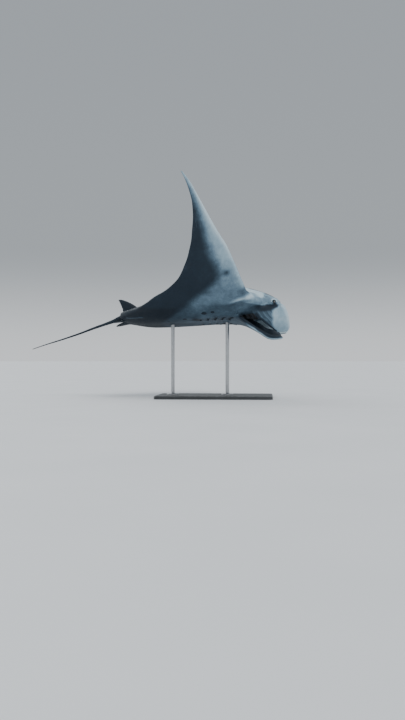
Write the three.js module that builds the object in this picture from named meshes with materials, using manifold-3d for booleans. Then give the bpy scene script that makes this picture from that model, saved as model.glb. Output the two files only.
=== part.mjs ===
// A giant oceanic manta ray in level flight with both wings raised on the
// upstroke and the mouth open to feed, as a life-size display model on a plain
// stand: a flat base and two round rods. Millimetres, +X towards the head,
// +Y towards the animal's left, +Z up, origin under the middle of the base.
import * as THREE from "three";
import { mergeVertices } from "three/addons/utils/BufferGeometryUtils.js";
import Module from "manifold-3d";

const wasm = await Module();
wasm.setup();

// ------------------------------------------------------------------ sizes
const HALF_SPAN = 1975; // disc centre line to wing tip, along the wing
const BANK = 5; // degrees, right side raised
const PITCH = 4; // degrees, nose up
const PIVOT_AFT = 700; // point of the body over the middle of the base
const PIVOT_HEIGHT = 985; // its height over the floor
const GAP = 0.4; // between neighbouring parts

const ROOT_SPAN = 430; // where the wing starts
const MID_SPAN = 900;
const OUTER_SPAN = 1400;
const HEAD_END = 470; // cuts across the body, measured aft of the upper lip
const CHEST_END = 880;
const LOIN_END = 1330;
const MOUTH_CORNER = { z: -126 };
const EYE = { aft: 34, z: -8, r: 27 };

const BASE = { length: 1300, width: 820, height: 36, corner: 60 };
const ROD = { r: 21, front: 560, rear: 1180, flange: 70, flangeHeight: 14 };

// ------------------------------------------------------- curves and helpers
// A smooth curve through a few (position, value) pairs, without overshoot.
function curve(...pairs) {
  const t = pairs.map((p) => p[0]),
    v = pairs.map((p) => p[1]),
    n = t.length,
    h = [],
    d = [],
    m = new Array(n).fill(0);
  for (let i = 0; i < n - 1; i++) {
    h.push(t[i + 1] - t[i]);
    d.push((v[i + 1] - v[i]) / h[i]);
  }
  m[0] = d[0];
  m[n - 1] = d[n - 2];
  for (let i = 1; i < n - 1; i++)
    if (d[i - 1] * d[i] > 0) {
      const w1 = 2 * h[i] + h[i - 1],
        w2 = h[i] + 2 * h[i - 1];
      m[i] = (w1 + w2) / (w1 / d[i - 1] + w2 / d[i]);
    }
  return (x) => {
    x = Math.min(Math.max(x, t[0]), t[n - 1]);
    let i = 0;
    while (i < n - 2 && x >= t[i + 1]) i++;
    const u = (x - t[i]) / h[i],
      u2 = u * u,
      u3 = u2 * u;
    return (
      (2 * u3 - 3 * u2 + 1) * v[i] +
      (u3 - 2 * u2 + u) * h[i] * m[i] +
      (3 * u2 - 2 * u3) * v[i + 1] +
      (u3 - u2) * h[i] * m[i + 1]
    );
  };
}
const rad = THREE.MathUtils.degToRad;
const clamp01 = (x) => Math.min(Math.max(x, 0), 1);
const smooth = (x, a, b) => {
  const u = clamp01((x - a) / (b - a));
  return u * u * (3 - 2 * u);
};
const power = (c, n) => Math.sign(c) * Math.abs(c) ** (2 / n);

// ------------------------------------------------------------- disc planform
// Leading and trailing edge, aft of the upper lip, against span.
const leading = curve([0, 150], [380, 150], [430, 162], [500, 222], [560, 280], [600, 312], [700, 340], [800, 370], [900, 397], [1000, 426], [1150, 473], [1300, 541], [1450, 606], [1600, 668], [1750, 732], [1880, 790], [1975, 852]);
const trailing = curve([0, 1775], [120, 1766], [250, 1690], [420, 1530], [600, 1328], [700, 1198], [800, 1089], [900, 1005], [1000, 950], [1150, 893], [1300, 853], [1450, 819], [1600, 796], [1750, 804], [1880, 829], [1975, 862]);
// Height of the back over the mean plane, and depth of the belly under it.
const back = curve([0, 236], [150, 226], [300, 184], [450, 130], [600, 92], [800, 66], [1000, 51], [1200, 39], [1400, 30], [1600, 22], [1800, 15], [1920, 9], [1975, 5]);
const belly = curve([0, 122], [150, 123], [300, 118], [450, 96], [600, 70], [800, 49], [1000, 38], [1200, 30], [1400, 24], [1600, 18], [1800, 12], [1920, 7], [1975, 4]);
// Share of that thickness along the chord.
const bodyTop = curve([0, 0.3], [0.1, 0.78], [0.2, 0.97], [0.32, 1], [0.5, 0.92], [0.7, 0.68], [0.88, 0.38], [1, 0.16]);
const bodyUnder = curve([0, 0.6], [0.12, 0.85], [0.3, 0.97], [0.42, 1], [0.6, 1], [0.8, 0.92], [0.93, 0.6], [1, 0.3]);
const wingShape = curve([0, 0.3], [0.05, 0.62], [0.14, 0.86], [0.28, 1], [0.45, 0.86], [0.65, 0.52], [0.85, 0.24], [1, 0.13]);

// One point of the flat disc: span s, t once round the section.
function disc(s, t) {
  const g = Math.abs(s),
    c = 0.5 * (1 + Math.cos(2 * Math.PI * t)),
    up = t < 0.5,
    w = smooth(g, 200, 760),
    share = (up ? bodyTop(c) : bodyUnder(c)) * (1 - w) + wingShape(c) * w,
    nose = Math.sqrt(1 - (1 - clamp01(c / 0.035)) ** 2),
    tail = Math.sqrt(1 - (1 - clamp01((1 - c) / 0.012)) ** 2),
    h = Math.max((up ? back(g) : belly(g)) * share, 4) * nose * tail,
    a = leading(g) + (trailing(g) - leading(g)) * c;
  return [s, a, up ? h : -h];
}

// ------------------------------------------------- the raised wings' bending
const dihedral = curve([0, 0], [280, 0], [400, 12], [520, 26], [660, 38], [820, 48], [980, 53], [1180, 55], [1450, 55.5], [1750, 56], [1975, 60]);
const twist = curve([0, 0], [620, 0], [900, 10], [1200, 24], [1500, 34], [1800, 40], [1975, 42]);
const STEP = 2;
const arcY = [0],
  arcZ = [0];
for (let g = 0; g < HALF_SPAN + 60; g += STEP) {
  const p = rad(dihedral(g + STEP / 2));
  arcY.push(arcY.at(-1) + STEP * Math.cos(p));
  arcZ.push(arcZ.at(-1) + STEP * Math.sin(p));
}
const along = (arr, g) => {
  const i = Math.min(Math.floor(g / STEP), arr.length - 2);
  return arr[i] + (arr[i + 1] - arr[i]) * (g / STEP - i);
};
// Flat (span, aft, up) to the body's frame.
function bend([l, a, z]) {
  const g = Math.abs(l),
    q = leading(g) + 0.35 * (trailing(g) - leading(g)),
    k = rad(twist(g)),
    a2 = q + (a - q) * Math.cos(k) + z * Math.sin(k),
    z2 = z * Math.cos(k) - (a - q) * Math.sin(k),
    p = rad(dihedral(g)),
    y = along(arcY, g) - z2 * Math.sin(p),
    up = along(arcZ, g) + z2 * Math.cos(p);
  return [l < 0 ? -y : y, a2, up];
}
const placed = new THREE.Matrix4()
  .makeTranslation(0, 0, PIVOT_HEIGHT)
  .multiply(new THREE.Matrix4().makeRotationY(rad(-PITCH)))
  .multiply(new THREE.Matrix4().makeRotationX(rad(-BANK)));
// The body's frame (left, aft, up) to the stand's frame.
function world([l, a, z]) {
  return new THREE.Vector3(PIVOT_AFT - a, l, z).applyMatrix4(placed);
}
const fromFlat = (p) => world(bend(p));

// --------------------------------------------------------------- solids
// A closed skin through rings of points, with flat or pinched ends.
function loft(rings) {
  const n = rings[0].length,
    xyz = [],
    tri = [];
  for (const ring of rings) for (const p of ring) xyz.push(p.x, p.y, p.z);
  for (let i = 0; i < rings.length - 1; i++)
    for (let j = 0; j < n; j++) {
      const a = i * n + j,
        b = i * n + ((j + 1) % n),
        c = a + n,
        d = b + n;
      tri.push(a, b, d, a, d, c);
    }
  for (const [k, flip] of [[0, true], [rings.length - 1, false]]) {
    const m = new THREE.Vector3();
    rings[k].forEach((p) => m.add(p));
    m.divideScalar(n);
    const id = xyz.length / 3;
    xyz.push(m.x, m.y, m.z);
    for (let j = 0; j < n; j++) {
      const a = k * n + j,
        b = k * n + ((j + 1) % n);
      flip ? tri.push(id, b, a) : tri.push(id, a, b);
    }
  }
  const g = new THREE.BufferGeometry();
  g.setAttribute("position", new THREE.Float32BufferAttribute(xyz, 3));
  g.setIndex(tri);
  return solid(g);
}
function solid(geometry, matrix) {
  let g = geometry.clone();
  if (matrix) g.applyMatrix4(matrix);
  g.deleteAttribute("normal");
  g.deleteAttribute("uv");
  g = mergeVertices(g, 1e-3);
  const make = (tri) =>
    new wasm.Manifold(
      new wasm.Mesh({
        numProp: 3,
        vertProperties: new Float32Array(g.attributes.position.array),
        triVerts: tri,
      }),
    );
  const tri = new Uint32Array(g.index.array);
  let m = make(tri);
  if (m.volume() < 0) {
    for (let i = 0; i < tri.length; i += 3)
      [tri[i + 1], tri[i + 2]] = [tri[i + 2], tri[i + 1]];
    m = make(tri);
  }
  return m;
}
const steps = (a, b, n) => Array.from({ length: n + 1 }, (_, i) => a + ((b - a) * i) / n);
const around = (n) => Array.from({ length: n }, (_, j) => j / n);

// A length of the disc between two spans.
function discLength(s0, s1, n, ring) {
  return loft(
    steps(s0, s1, n).map((s) => around(ring).map((t) => fromFlat(disc(s, t)))),
  );
}
// A block whose cross sections are rounded boxes at given distances aft.
function block(stations, width, top, bottom, ring, nw = 2.6, nh = 2.2) {
  return loft(
    stations.map((a) =>
      around(ring).map((t) => {
        const c = Math.cos(2 * Math.PI * t),
          s = Math.sin(2 * Math.PI * t),
          zt = top(a),
          zb = bottom(a),
          mid = (zt + zb) / 2,
          half = (zt - zb) / 2;
        return world([power(c, nw) * width(a), a, mid + power(s, nh) * half]);
      }),
    ),
  );
}
// A straight-sided cutting box in the body's frame.
function cutter(l0, l1, a0, a1, z0, z1) {
  const g = new THREE.BoxGeometry(l1 - l0, a1 - a0, z1 - z0);
  const p = g.attributes.position;
  for (let i = 0; i < p.count; i++) {
    const v = world([
      p.getX(i) + (l0 + l1) / 2,
      p.getY(i) + (a0 + a1) / 2,
      p.getZ(i) + (z0 + z1) / 2,
    ]);
    p.setXYZ(i, v.x, v.y, v.z);
  }
  return solid(g);
}
const FAR = 3000;
const zone = (a0, a1) => cutter(-FAR, FAR, a0, a1, -FAR, FAR);

// ------------------------------------------------------------------ head
const headWidth = curve([-26, 296], [-14, 338], [6, 368], [32, 384], [90, 390], [160, 392], [260, 390], [360, 396], [460, 400], [560, 352]);
const headTop = curve([-26, -4], [-14, 30], [5, 56], [60, 100], [135, 142], [265, 196], [344, 216], [430, 224], [560, 196]);
const headUnder = curve([-26, -26], [-14, -48], [10, -64], [60, -74], [140, -92], [220, -108], [330, -124], [430, -132], [560, -118]);
const jawWidth = curve([-34, 90], [-26, 170], [-4, 232], [50, 282], [130, 316], [230, 342], [330, 364], [430, 388], [560, 372], [700, 280]);
const jawUnder = curve([-34, -358], [-26, -366], [-4, -374], [60, -376], [110, -366], [222, -290], [320, -228], [420, -178], [560, -142], [700, -116]);
const jawTop = curve([-34, -348], [-4, -342], [80, -322], [222, -240], [320, -178], [400, -120], [460, -80], [700, -60]);
const mouthWidth = curve([-500, 620], [-120, 330], [-30, 262], [40, 270], [150, 284], [330, 300], [440, 280], [560, 190]);
const mouthRoof = curve([-500, 130], [-60, -20], [0, -34], [80, -44], [200, -60], [330, -70], [440, -72], [560, -76]);
const mouthFloor = curve([-500, -900], [-120, -430], [-34, -352], [40, -348], [110, -332], [222, -258], [320, -196], [440, -138], [560, -112]);

const skull = block([-26, -21, -12, 4, 30, 70, 130, 200, 280, 360, 460, 560], headWidth, headTop, headUnder, 24);
const jaw = block([-34, -29, -18, 0, 50, 110, 170, 240, 320, 400, 480, 580, 700], jawWidth, jawTop, jawUnder, 24, 3.2, 2.4);
const mouth = block([-500, -120, -34, 10, 110, 220, 320, 440, 560], mouthWidth, mouthRoof, mouthFloor, 18, 3.4, 3.0);

const ball = (p, size, w = 14, h = 9) =>
  solid(
    new THREE.SphereGeometry(1, w, h),
    new THREE.Matrix4()
      .makeTranslation(...world(p).toArray())
      .multiply(new THREE.Matrix4().makeScale(...size)),
  );
const eyeball = (side, pad = 0) =>
  ball([side * eyeSide, EYE.aft, EYE.z], [EYE.r + pad, EYE.r + pad, EYE.r + pad]);
const brow = (side) =>
  ball([side * (headWidth(EYE.aft) - 40), EYE.aft + 16, EYE.z + 4], [74, 56, 42]);
const eyeSide = headWidth(EYE.aft) - 4;
let trunk = discLength(-ROOT_SPAN + GAP / 2, ROOT_SPAN - GAP / 2, 12, 24).add(skull).add(jaw);
const envelope = trunk.add(brow(1)).add(brow(-1));
trunk = envelope.subtract(mouth);

// Five gill slits each side of the underside.
for (const side of [1, -1])
  for (let i = 0; i < 5; i++) {
    const a = 520 + 82 * i,
      half = 112 - 10 * i,
      mid = 232 - 12 * i,
      g = new THREE.BoxGeometry(2 * half, 9, 60);
    g.rotateZ(side * rad(-14 + 2 * i));
    const p = g.attributes.position;
    for (let k = 0; k < p.count; k++) {
      const v = world([p.getX(k) + side * mid, p.getY(k) + a, p.getZ(k) - 138]);
      p.setXYZ(k, v.x, v.y, v.z);
    }
    trunk = trunk.subtract(solid(g));
  }

// -------------------------------------------------------- cephalic lobes
const lobeRearAft = curve([0, 268], [0.3, 210], [0.6, 122], [0.85, 44], [1, 2]);
const lobeRearZ = curve([0, -96], [0.3, -158], [0.6, -238], [0.85, -302], [1, -334]);
const lobeFrontAft = curve([0, -4], [0.12, -34], [0.25, -54], [0.5, -86], [0.8, -108], [0.95, -96], [1, -66]);
const lobeFrontZ = curve([0, -26], [0.12, -44], [0.25, -78], [0.5, -168], [0.8, -268], [0.95, -316], [1, -336]);
const lobeThick = curve([0, 46], [0.3, 34], [0.7, 26], [1, 14]);
function lobe(side) {
  const rings = [];
  for (const v of [0, 0.12, 0.26, 0.4, 0.54, 0.68, 0.8, 0.9, 0.97, 1]) {
    rings.push(
      around(14).map((t) => {
        const u = 0.5 - 0.5 * Math.cos(2 * Math.PI * t),
          out = Math.sin(2 * Math.PI * t),
          a = lobeRearAft(v) + (lobeFrontAft(v) - lobeRearAft(v)) * u,
          z = lobeRearZ(v) + (lobeFrontZ(v) - lobeRearZ(v)) * u,
          inward = 150 * v ** 2.2 + 45 * u * u * v + 30 * u ** 3,
          l = 372 + 18 * Math.sin(2.51 * v) - inward + 0.5 * lobeThick(v) * power(out, 2.4);
        return world([side * l, a, z]);
      }),
    );
  }
  return loft(rings);
}

// -------------------------------------------------------------- fins, tail
// A fin: an outline of (front, rear) edges from root to tip, with a lens section.
function fin(rootToTip, thick, place, pad = 0) {
  return loft(
    rootToTip.map(([front, rear, rise], i) =>
      around(14).map((t) => {
        const u = 0.5 - 0.5 * Math.cos(2 * Math.PI * t),
          w = (0.5 * thick[i] + pad) * Math.sin(2 * Math.PI * t) * (1 - 0.45 * u);
        return place(front - pad + (rear + 2 * pad - front) * u, w, rise);
      }),
    ),
  );
}
const dorsalFin = (pad = 0) => fin(
  [[1545, 1748, 0], [1572, 1756, 66], [1606, 1764, 98], [1650, 1774, 130], [1702, 1786, 160], [1748, 1796, 180], [1778, 1802, 188]],
  [34, 30, 25, 20, 15, 11, 7],
  (a, w, rise) => world([w, a, 26 + rise]),
  pad,
);
function pelvicFin(side) {
  return fin(
    [[1590, 1812, 0], [1612, 1838, 32], [1660, 1858, 66], [1730, 1866, 92], [1790, 1864, 104]],
    [34, 26, 19, 13, 8],
    (a, w, rise) => world([side * (62 + rise * 0.9), a, -46 + w - rise * 0.12 - 0.1 * Math.max(a - 1700, 0)]),
  );
}
const TAIL = { start: 1690, end: 2828 };
const tailRadius = curve([1690, 44], [1790, 33], [1860, 23], [1960, 17], [2200, 12], [2500, 8], [2828, 3.5]);
const tailZ = curve([1690, 6], [1767, -2], [1886, -36], [2091, -92], [2288, -150], [2483, -200], [2680, -246], [2828, -285]);
function tailLength(a0, a1, n, pad = 0) {
  return loft(
    steps(a0, a1, n).map((a) =>
      around(12).map((t) => {
        const r = tailRadius(a) + pad;
        return world([1.1 * r * Math.cos(2 * Math.PI * t), a, tailZ(a) + r * Math.sin(2 * Math.PI * t)]);
      }),
    ),
  );
}
const TAIL_CUTS = [1870, 2180, 2500];
// The knob of the lost sting, just behind the dorsal fin.
const tailBase = (pad = 0) =>
  tailLength(TAIL.start - pad, TAIL_CUTS[0] - GAP / 2 + pad, 5, pad).add(
    ball([0, 1826, -6], [27 + pad, 11 + pad, 13 + pad], 12, 8),
  );

// ---------------------------------------------------------------- stand
const root = new THREE.Group();
root.name = "manta_ray_model";
const materials = {
  back: { color: 0x2a3640, roughness: 0.55, metalness: 0 },
  head: { color: 0x3a4852, roughness: 0.55, metalness: 0 },
  jaw: { color: 0x8c979c, roughness: 0.55, metalness: 0 },
  lobe: { color: 0xa9b6bc, roughness: 0.5, metalness: 0 },
  wing: { color: 0x6f7d85, roughness: 0.55, metalness: 0 },
  tail: { color: 0x232c33, roughness: 0.6, metalness: 0 },
  eye: { color: 0x0b0d10, roughness: 0.12, metalness: 0 },
  base: { color: 0x2b2d2f, roughness: 0.5, metalness: 0 },
  rod: { color: 0xb9bdc0, roughness: 0.32, metalness: 1 },
};
function node(name, manifold, look) {
  const m = manifold.getMesh(),
    n = m.numProp,
    xyz = new Float32Array(m.numVert * 3);
  for (let i = 0; i < m.numVert; i++) xyz.set(m.vertProperties.subarray(i * n, i * n + 3), 3 * i);
  const g = new THREE.BufferGeometry();
  g.setAttribute("position", new THREE.BufferAttribute(xyz, 3));
  g.setIndex(new THREE.BufferAttribute(m.triVerts, 1));
  g.computeVertexNormals();
  const mesh = new THREE.Mesh(g, new THREE.MeshStandardMaterial(materials[look]));
  mesh.name = name;
  root.add(mesh);
  return manifold;
}
const largest = (m) => m.decompose().sort((a, b) => b.volume() - a.volume())[0];

// --------------------------------------------- parting the body into nodes
for (const side of [1, -1]) trunk = trunk.subtract(eyeball(side, GAP));
trunk = trunk.subtract(tailBase(GAP)).subtract(dorsalFin(GAP));

const headPart = trunk.intersect(zone(-FAR, HEAD_END - GAP / 2));
const upper = headPart.intersect(cutter(-FAR, FAR, -FAR, FAR, MOUTH_CORNER.z + GAP / 2, FAR));
const lower = headPart.intersect(cutter(-FAR, FAR, -FAR, FAR, -FAR, MOUTH_CORNER.z - GAP / 2));
const head = largest(upper),
  lowerJaw = largest(lower);
const lobes = {};
for (const [name, side] of [["right", -1], ["left", 1]])
  lobes[name] = largest(
    lobe(side)
      .subtract(envelope.translate([0, 0, -GAP]))
      .subtract(envelope.translate([GAP, 0, 0]))
      .subtract(envelope.translate([0, side * GAP, 0]))
      .subtract(eyeball(side, GAP)),
  );

node("head", head, "head");
node("lower_jaw", lowerJaw, "jaw");
node("cephalic_lobe_right", lobes.right, "lobe");
node("cephalic_lobe_left", lobes.left, "lobe");
node("eye_right", eyeball(-1), "eye");
node("eye_left", eyeball(1), "eye");
const pelvic = { right: pelvicFin(-1), left: pelvicFin(1) };
const chest = largest(trunk.intersect(zone(HEAD_END + GAP / 2, CHEST_END - GAP / 2)));
const midBody = largest(trunk.intersect(zone(CHEST_END + GAP / 2, LOIN_END - GAP / 2)));
const rear = largest(trunk.intersect(zone(LOIN_END + GAP / 2, FAR)));
node("trunk_front", chest, "back");
node("trunk_middle", midBody, "back");
node("trunk_rear", rear, "back");
for (const side of ["right", "left"])
  node("pelvic_fin_" + side, largest(
      pelvic[side]
        .subtract(envelope.translate([0, 0, -GAP]))
        .subtract(envelope.translate([-GAP, 0, 0]))
        .subtract(tailBase(GAP)),
    ), "wing");
const tailBlock = tailBase();
node("dorsal_fin", largest(dorsalFin().subtract(tailBase(GAP))), "tail");
node("tail_base", tailBlock, "tail");
node("tail_front", tailLength(TAIL_CUTS[0] + GAP / 2, TAIL_CUTS[1] - GAP / 2, 4), "tail");
node("tail_middle", tailLength(TAIL_CUTS[1] + GAP / 2, TAIL_CUTS[2] - GAP / 2, 4), "tail");
node("tail_end", tailLength(TAIL_CUTS[2] + GAP / 2, TAIL.end, 4), "tail");
for (const [name, side] of [["right", -1], ["left", 1]]) {
  const spans = (a, b) => [side * (a + GAP / 2), side * (b - GAP / 2)];
  node(`wing_${name}_root`, discLength(...spans(ROOT_SPAN, MID_SPAN), 8, 24), "wing");
  node(`wing_${name}_middle`, discLength(...spans(MID_SPAN, OUTER_SPAN), 6, 22), "wing");
  node(`wing_${name}_tip`, discLength(side * (OUTER_SPAN + GAP / 2), side * HALF_SPAN, 8, 20), "wing");
}

// The stand: a flat base with rounded corners, and two rods up to the belly.
const plan = new THREE.Shape();
{
  const x = BASE.length / 2,
    y = BASE.width / 2,
    r = BASE.corner;
  plan.moveTo(-x + r, -y);
  plan.lineTo(x - r, -y);
  plan.absarc(x - r, -y + r, r, -Math.PI / 2, 0, false);
  plan.lineTo(x, y - r);
  plan.absarc(x - r, y - r, r, 0, Math.PI / 2, false);
  plan.lineTo(-x + r, y);
  plan.absarc(-x + r, y - r, r, Math.PI / 2, Math.PI, false);
  plan.lineTo(-x, -y + r);
  plan.absarc(-x + r, -y + r, r, Math.PI, 1.5 * Math.PI, false);
}
const BEVEL = 5;
node(
  "stand_base",
  solid(
    new THREE.ExtrudeGeometry(plan, {
      depth: BASE.height - BEVEL,
      bevelEnabled: true,
      bevelThickness: BEVEL,
      bevelSize: BEVEL,
      bevelOffset: -BEVEL,
      bevelSegments: 1,
      curveSegments: 4,
    }),
  ).intersect(solid(new THREE.BoxGeometry(4000, 4000, BASE.height), new THREE.Matrix4().makeTranslation(0, 0, BASE.height / 2))),
  "base",
);
for (const [name, aft] of [["front", ROD.front], ["rear", ROD.rear]]) {
  const x = PIVOT_AFT - aft,
    floor = BASE.height + GAP,
    profile = [
      [0, floor], [ROD.flange, floor], [ROD.flange, floor + ROD.flangeHeight - 4], [ROD.flange - 4, floor + ROD.flangeHeight],
      [ROD.r + 8, floor + ROD.flangeHeight], [ROD.r, floor + ROD.flangeHeight + 8], [ROD.r, PIVOT_HEIGHT], [0, PIVOT_HEIGHT],
    ].map((p) => new THREE.Vector2(...p));
  const rod = solid(
    new THREE.LatheGeometry(profile, 20),
    new THREE.Matrix4().makeTranslation(x, 0, 0).multiply(new THREE.Matrix4().makeRotationX(Math.PI / 2)),
  );
  node("stand_rod_" + name, largest(rod.subtract(trunk.translate([0, 0, -GAP]))), "rod");
}

export default root;
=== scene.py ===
"""Manta ray on a display stand: one continuous skin, two eyes, and the stand's finish."""

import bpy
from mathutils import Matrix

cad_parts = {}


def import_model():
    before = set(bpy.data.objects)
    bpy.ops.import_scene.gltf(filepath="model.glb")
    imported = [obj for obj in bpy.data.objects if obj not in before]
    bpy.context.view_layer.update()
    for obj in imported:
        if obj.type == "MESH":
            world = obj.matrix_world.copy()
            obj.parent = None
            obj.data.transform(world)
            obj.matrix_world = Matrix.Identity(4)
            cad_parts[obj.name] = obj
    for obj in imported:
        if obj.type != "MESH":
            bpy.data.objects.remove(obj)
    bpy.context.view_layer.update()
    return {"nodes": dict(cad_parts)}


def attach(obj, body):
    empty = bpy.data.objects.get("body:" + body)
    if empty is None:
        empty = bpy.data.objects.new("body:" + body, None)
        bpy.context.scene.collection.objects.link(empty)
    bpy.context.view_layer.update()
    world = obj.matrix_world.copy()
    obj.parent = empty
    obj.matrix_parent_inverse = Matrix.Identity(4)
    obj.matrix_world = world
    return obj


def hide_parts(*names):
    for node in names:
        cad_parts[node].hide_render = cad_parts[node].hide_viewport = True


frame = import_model()

import math

import bpy
import numpy as np
from mathutils import Vector
from mathutils.bvhtree import BVHTree

rng = np.random.default_rng(7)
scene = bpy.context.scene

# ------------------------------------------------------------------ camera
cam_data = bpy.data.cameras.new("view")
cam_data.lens = 39.72
cam_data.sensor_width = 36.0
cam_data.sensor_fit = "AUTO"
cam_data.clip_end = 800.0
cam = bpy.data.objects.new("view", cam_data)
cam.location = (0.565, -8.983, 0.430)
cam.rotation_euler = (math.radians(90), 0, math.radians(4.5))
scene.collection.objects.link(cam)
scene.camera = cam

# -------------------------------------------- shape functions (millimetres)
# Body frame: y to the left, a aft of the upper lip, z up.
# Flat frame: s along the span, a aft, w up through the wing, before the wings lift.


def curve(*pairs):
    """A monotone cubic through a few (t, value) pairs, as a dense table."""
    t = np.array([p[0] for p in pairs], float)
    v = np.array([p[1] for p in pairs], float)
    n = len(t)
    h = np.diff(t)
    d = np.diff(v) / h
    m = np.zeros(n)
    m[0], m[-1] = d[0], d[-1]
    for i in range(1, n - 1):
        if d[i - 1] * d[i] > 0:
            w1, w2 = 2 * h[i] + h[i - 1], h[i] + 2 * h[i - 1]
            m[i] = (w1 + w2) / (w1 / d[i - 1] + w2 / d[i])
    x = np.linspace(t[0], t[-1], 4001)
    i = np.clip(np.searchsorted(t, x, side="right") - 1, 0, n - 2)
    u = (x - t[i]) / h[i]
    y = (2 * u**3 - 3 * u**2 + 1) * v[i] + (u**3 - 2 * u**2 + u) * h[i] * m[i] + (-2 * u**3 + 3 * u**2) * v[i + 1] + (u**3 - u**2) * h[i] * m[i + 1]
    return lambda q: np.interp(q, x, y)


def slope(f, q, e=0.5):
    return (f(q + e) - f(q - e)) / (2 * e)


def smooth(x, a, b):
    u = np.clip((x - a) / (b - a), 0, 1)
    return u * u * (3 - 2 * u)


def smin(a, b, k):
    h = np.clip(0.5 + 0.5 * (b - a) / k, 0, 1)
    return b * (1 - h) + a * h - k * h * (1 - h)


def smax(a, b, k):
    return -smin(-a, -b, k)


def power(c, n):
    return np.sign(c) * np.abs(c) ** (2 / n)


HALF_SPAN = 1975.0
leading = curve((0, 150), (380, 150), (430, 162), (500, 222), (560, 280), (600, 312), (700, 340), (800, 370), (900, 397), (1000, 426), (1150, 473), (1300, 541), (1450, 606), (1600, 668), (1750, 732), (1880, 790), (1975, 852))
trailing = curve((0, 1775), (120, 1766), (250, 1690), (420, 1530), (600, 1328), (700, 1198), (800, 1089), (900, 1005), (1000, 950), (1150, 893), (1300, 853), (1450, 819), (1600, 796), (1750, 804), (1880, 829), (1975, 862))
back_thick = curve((0, 236), (150, 226), (300, 184), (450, 130), (600, 92), (800, 66), (1000, 51), (1200, 39), (1400, 30), (1600, 22), (1800, 15), (1920, 9), (1975, 5))
belly_thick = curve((0, 122), (150, 123), (300, 118), (450, 96), (600, 70), (800, 49), (1000, 38), (1200, 30), (1400, 24), (1600, 18), (1800, 12), (1920, 7), (1975, 4))
body_top = curve((0, 0.3), (0.1, 0.78), (0.2, 0.97), (0.32, 1), (0.5, 0.92), (0.7, 0.68), (0.88, 0.38), (1, 0.16))
body_under = curve((0, 0.6), (0.12, 0.85), (0.3, 0.97), (0.42, 1), (0.6, 1), (0.8, 0.92), (0.93, 0.6), (1, 0.3))
wing_shape = curve((0, 0.3), (0.05, 0.62), (0.14, 0.86), (0.28, 1), (0.45, 0.86), (0.65, 0.52), (0.85, 0.24), (1, 0.13))
dihedral = curve((0, 0), (280, 0), (400, 12), (520, 26), (660, 38), (820, 48), (980, 53), (1180, 55), (1450, 55.5), (1750, 56), (1975, 60))
twist = curve((0, 0), (620, 0), (900, 10), (1200, 24), (1500, 34), (1800, 40), (1975, 42))

head_width = curve((-26, 296), (-14, 338), (6, 368), (32, 384), (90, 390), (160, 392), (260, 390), (360, 396), (460, 400), (560, 352))
head_top = curve((-26, -4), (-14, 30), (5, 56), (60, 100), (135, 142), (265, 196), (344, 216), (430, 224), (560, 196))
head_under = curve((-26, -26), (-14, -48), (10, -64), (60, -74), (140, -92), (220, -108), (330, -124), (430, -132), (560, -118))
jaw_width = curve((-34, 90), (-26, 170), (-4, 232), (50, 282), (130, 316), (230, 342), (330, 364), (430, 388), (560, 372), (700, 280))
jaw_under = curve((-34, -358), (-26, -366), (-4, -374), (60, -376), (110, -366), (222, -290), (320, -224), (420, -162), (480, -142), (560, -126), (700, -112))
jaw_top = curve((-34, -348), (-4, -342), (80, -322), (222, -240), (320, -178), (400, -120), (460, -80), (700, -60))
mouth_width = curve((-500, 620), (-120, 330), (-30, 262), (40, 270), (150, 284), (330, 300), (440, 280), (560, 190))
mouth_roof = curve((-500, 130), (-60, -30), (0, -40), (80, -46), (200, -60), (330, -70), (440, -72), (560, -76))
mouth_floor = curve((-500, -900), (-120, -430), (-34, -352), (40, -348), (110, -334), (222, -258), (320, -192), (440, -124), (560, -100))

lobe_rear_aft = curve((0, 272), (0.3, 222), (0.6, 140), (0.85, 62), (1, 16))
lobe_rear_z = curve((0, -96), (0.3, -156), (0.6, -232), (0.85, -292), (1, -320))
lobe_front_aft = curve((0, -30), (0.12, -64), (0.25, -88), (0.5, -114), (0.8, -119), (0.95, -100), (1, -66))
lobe_front_z = curve((0, -26), (0.12, -44), (0.25, -78), (0.5, -166), (0.8, -260), (0.95, -304), (1, -322))
lobe_thick = curve((0, 46), (0.3, 34), (0.7, 26), (1, 14))
tail_radius = curve((1690, 44), (1790, 33), (1860, 23), (1960, 17), (2200, 12), (2500, 8), (2828, 3.5))
tail_z = curve((1690, 6), (1767, -2), (1886, -36), (2091, -92), (2288, -150), (2483, -200), (2680, -246), (2828, -285))
TAIL_END = 2828.0

EYE_A, EYE_Z, EYE_R = 34.0, -8.0, 27.0
EYE_Y = float(head_width(EYE_A)) - 4

_s = np.linspace(0, 2100, 2101)
_phi = np.radians(dihedral(_s))
_arc_y = np.concatenate([[0], np.cumsum(0.5 * (np.cos(_phi)[1:] + np.cos(_phi)[:-1]))])
_arc_z = np.concatenate([[0], np.cumsum(0.5 * (np.sin(_phi)[1:] + np.sin(_phi)[:-1]))])


def bend(p):
    """Flat frame to body frame: the wings lift and wash out."""
    s, a, w = p[..., 0], p[..., 1], p[..., 2]
    g = np.abs(s)
    q = leading(g) + 0.35 * (trailing(g) - leading(g))
    k = np.radians(twist(g))
    a2 = q + (a - q) * np.cos(k) + w * np.sin(k)
    w2 = w * np.cos(k) - (a - q) * np.sin(k)
    phi = np.radians(dihedral(g))
    y = np.interp(g, _s, _arc_y) - w2 * np.sin(phi)
    z = np.interp(g, _s, _arc_z) + w2 * np.cos(phi)
    return np.stack([np.where(s < 0, -1, 1) * y, a2, z], -1)


# The way back, for the inner body where the wing has no twist: (y, z) to (s, w).
_ty = np.arange(0, 725, 4.0)
_tz = np.arange(-460, 345, 4.0)


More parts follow.
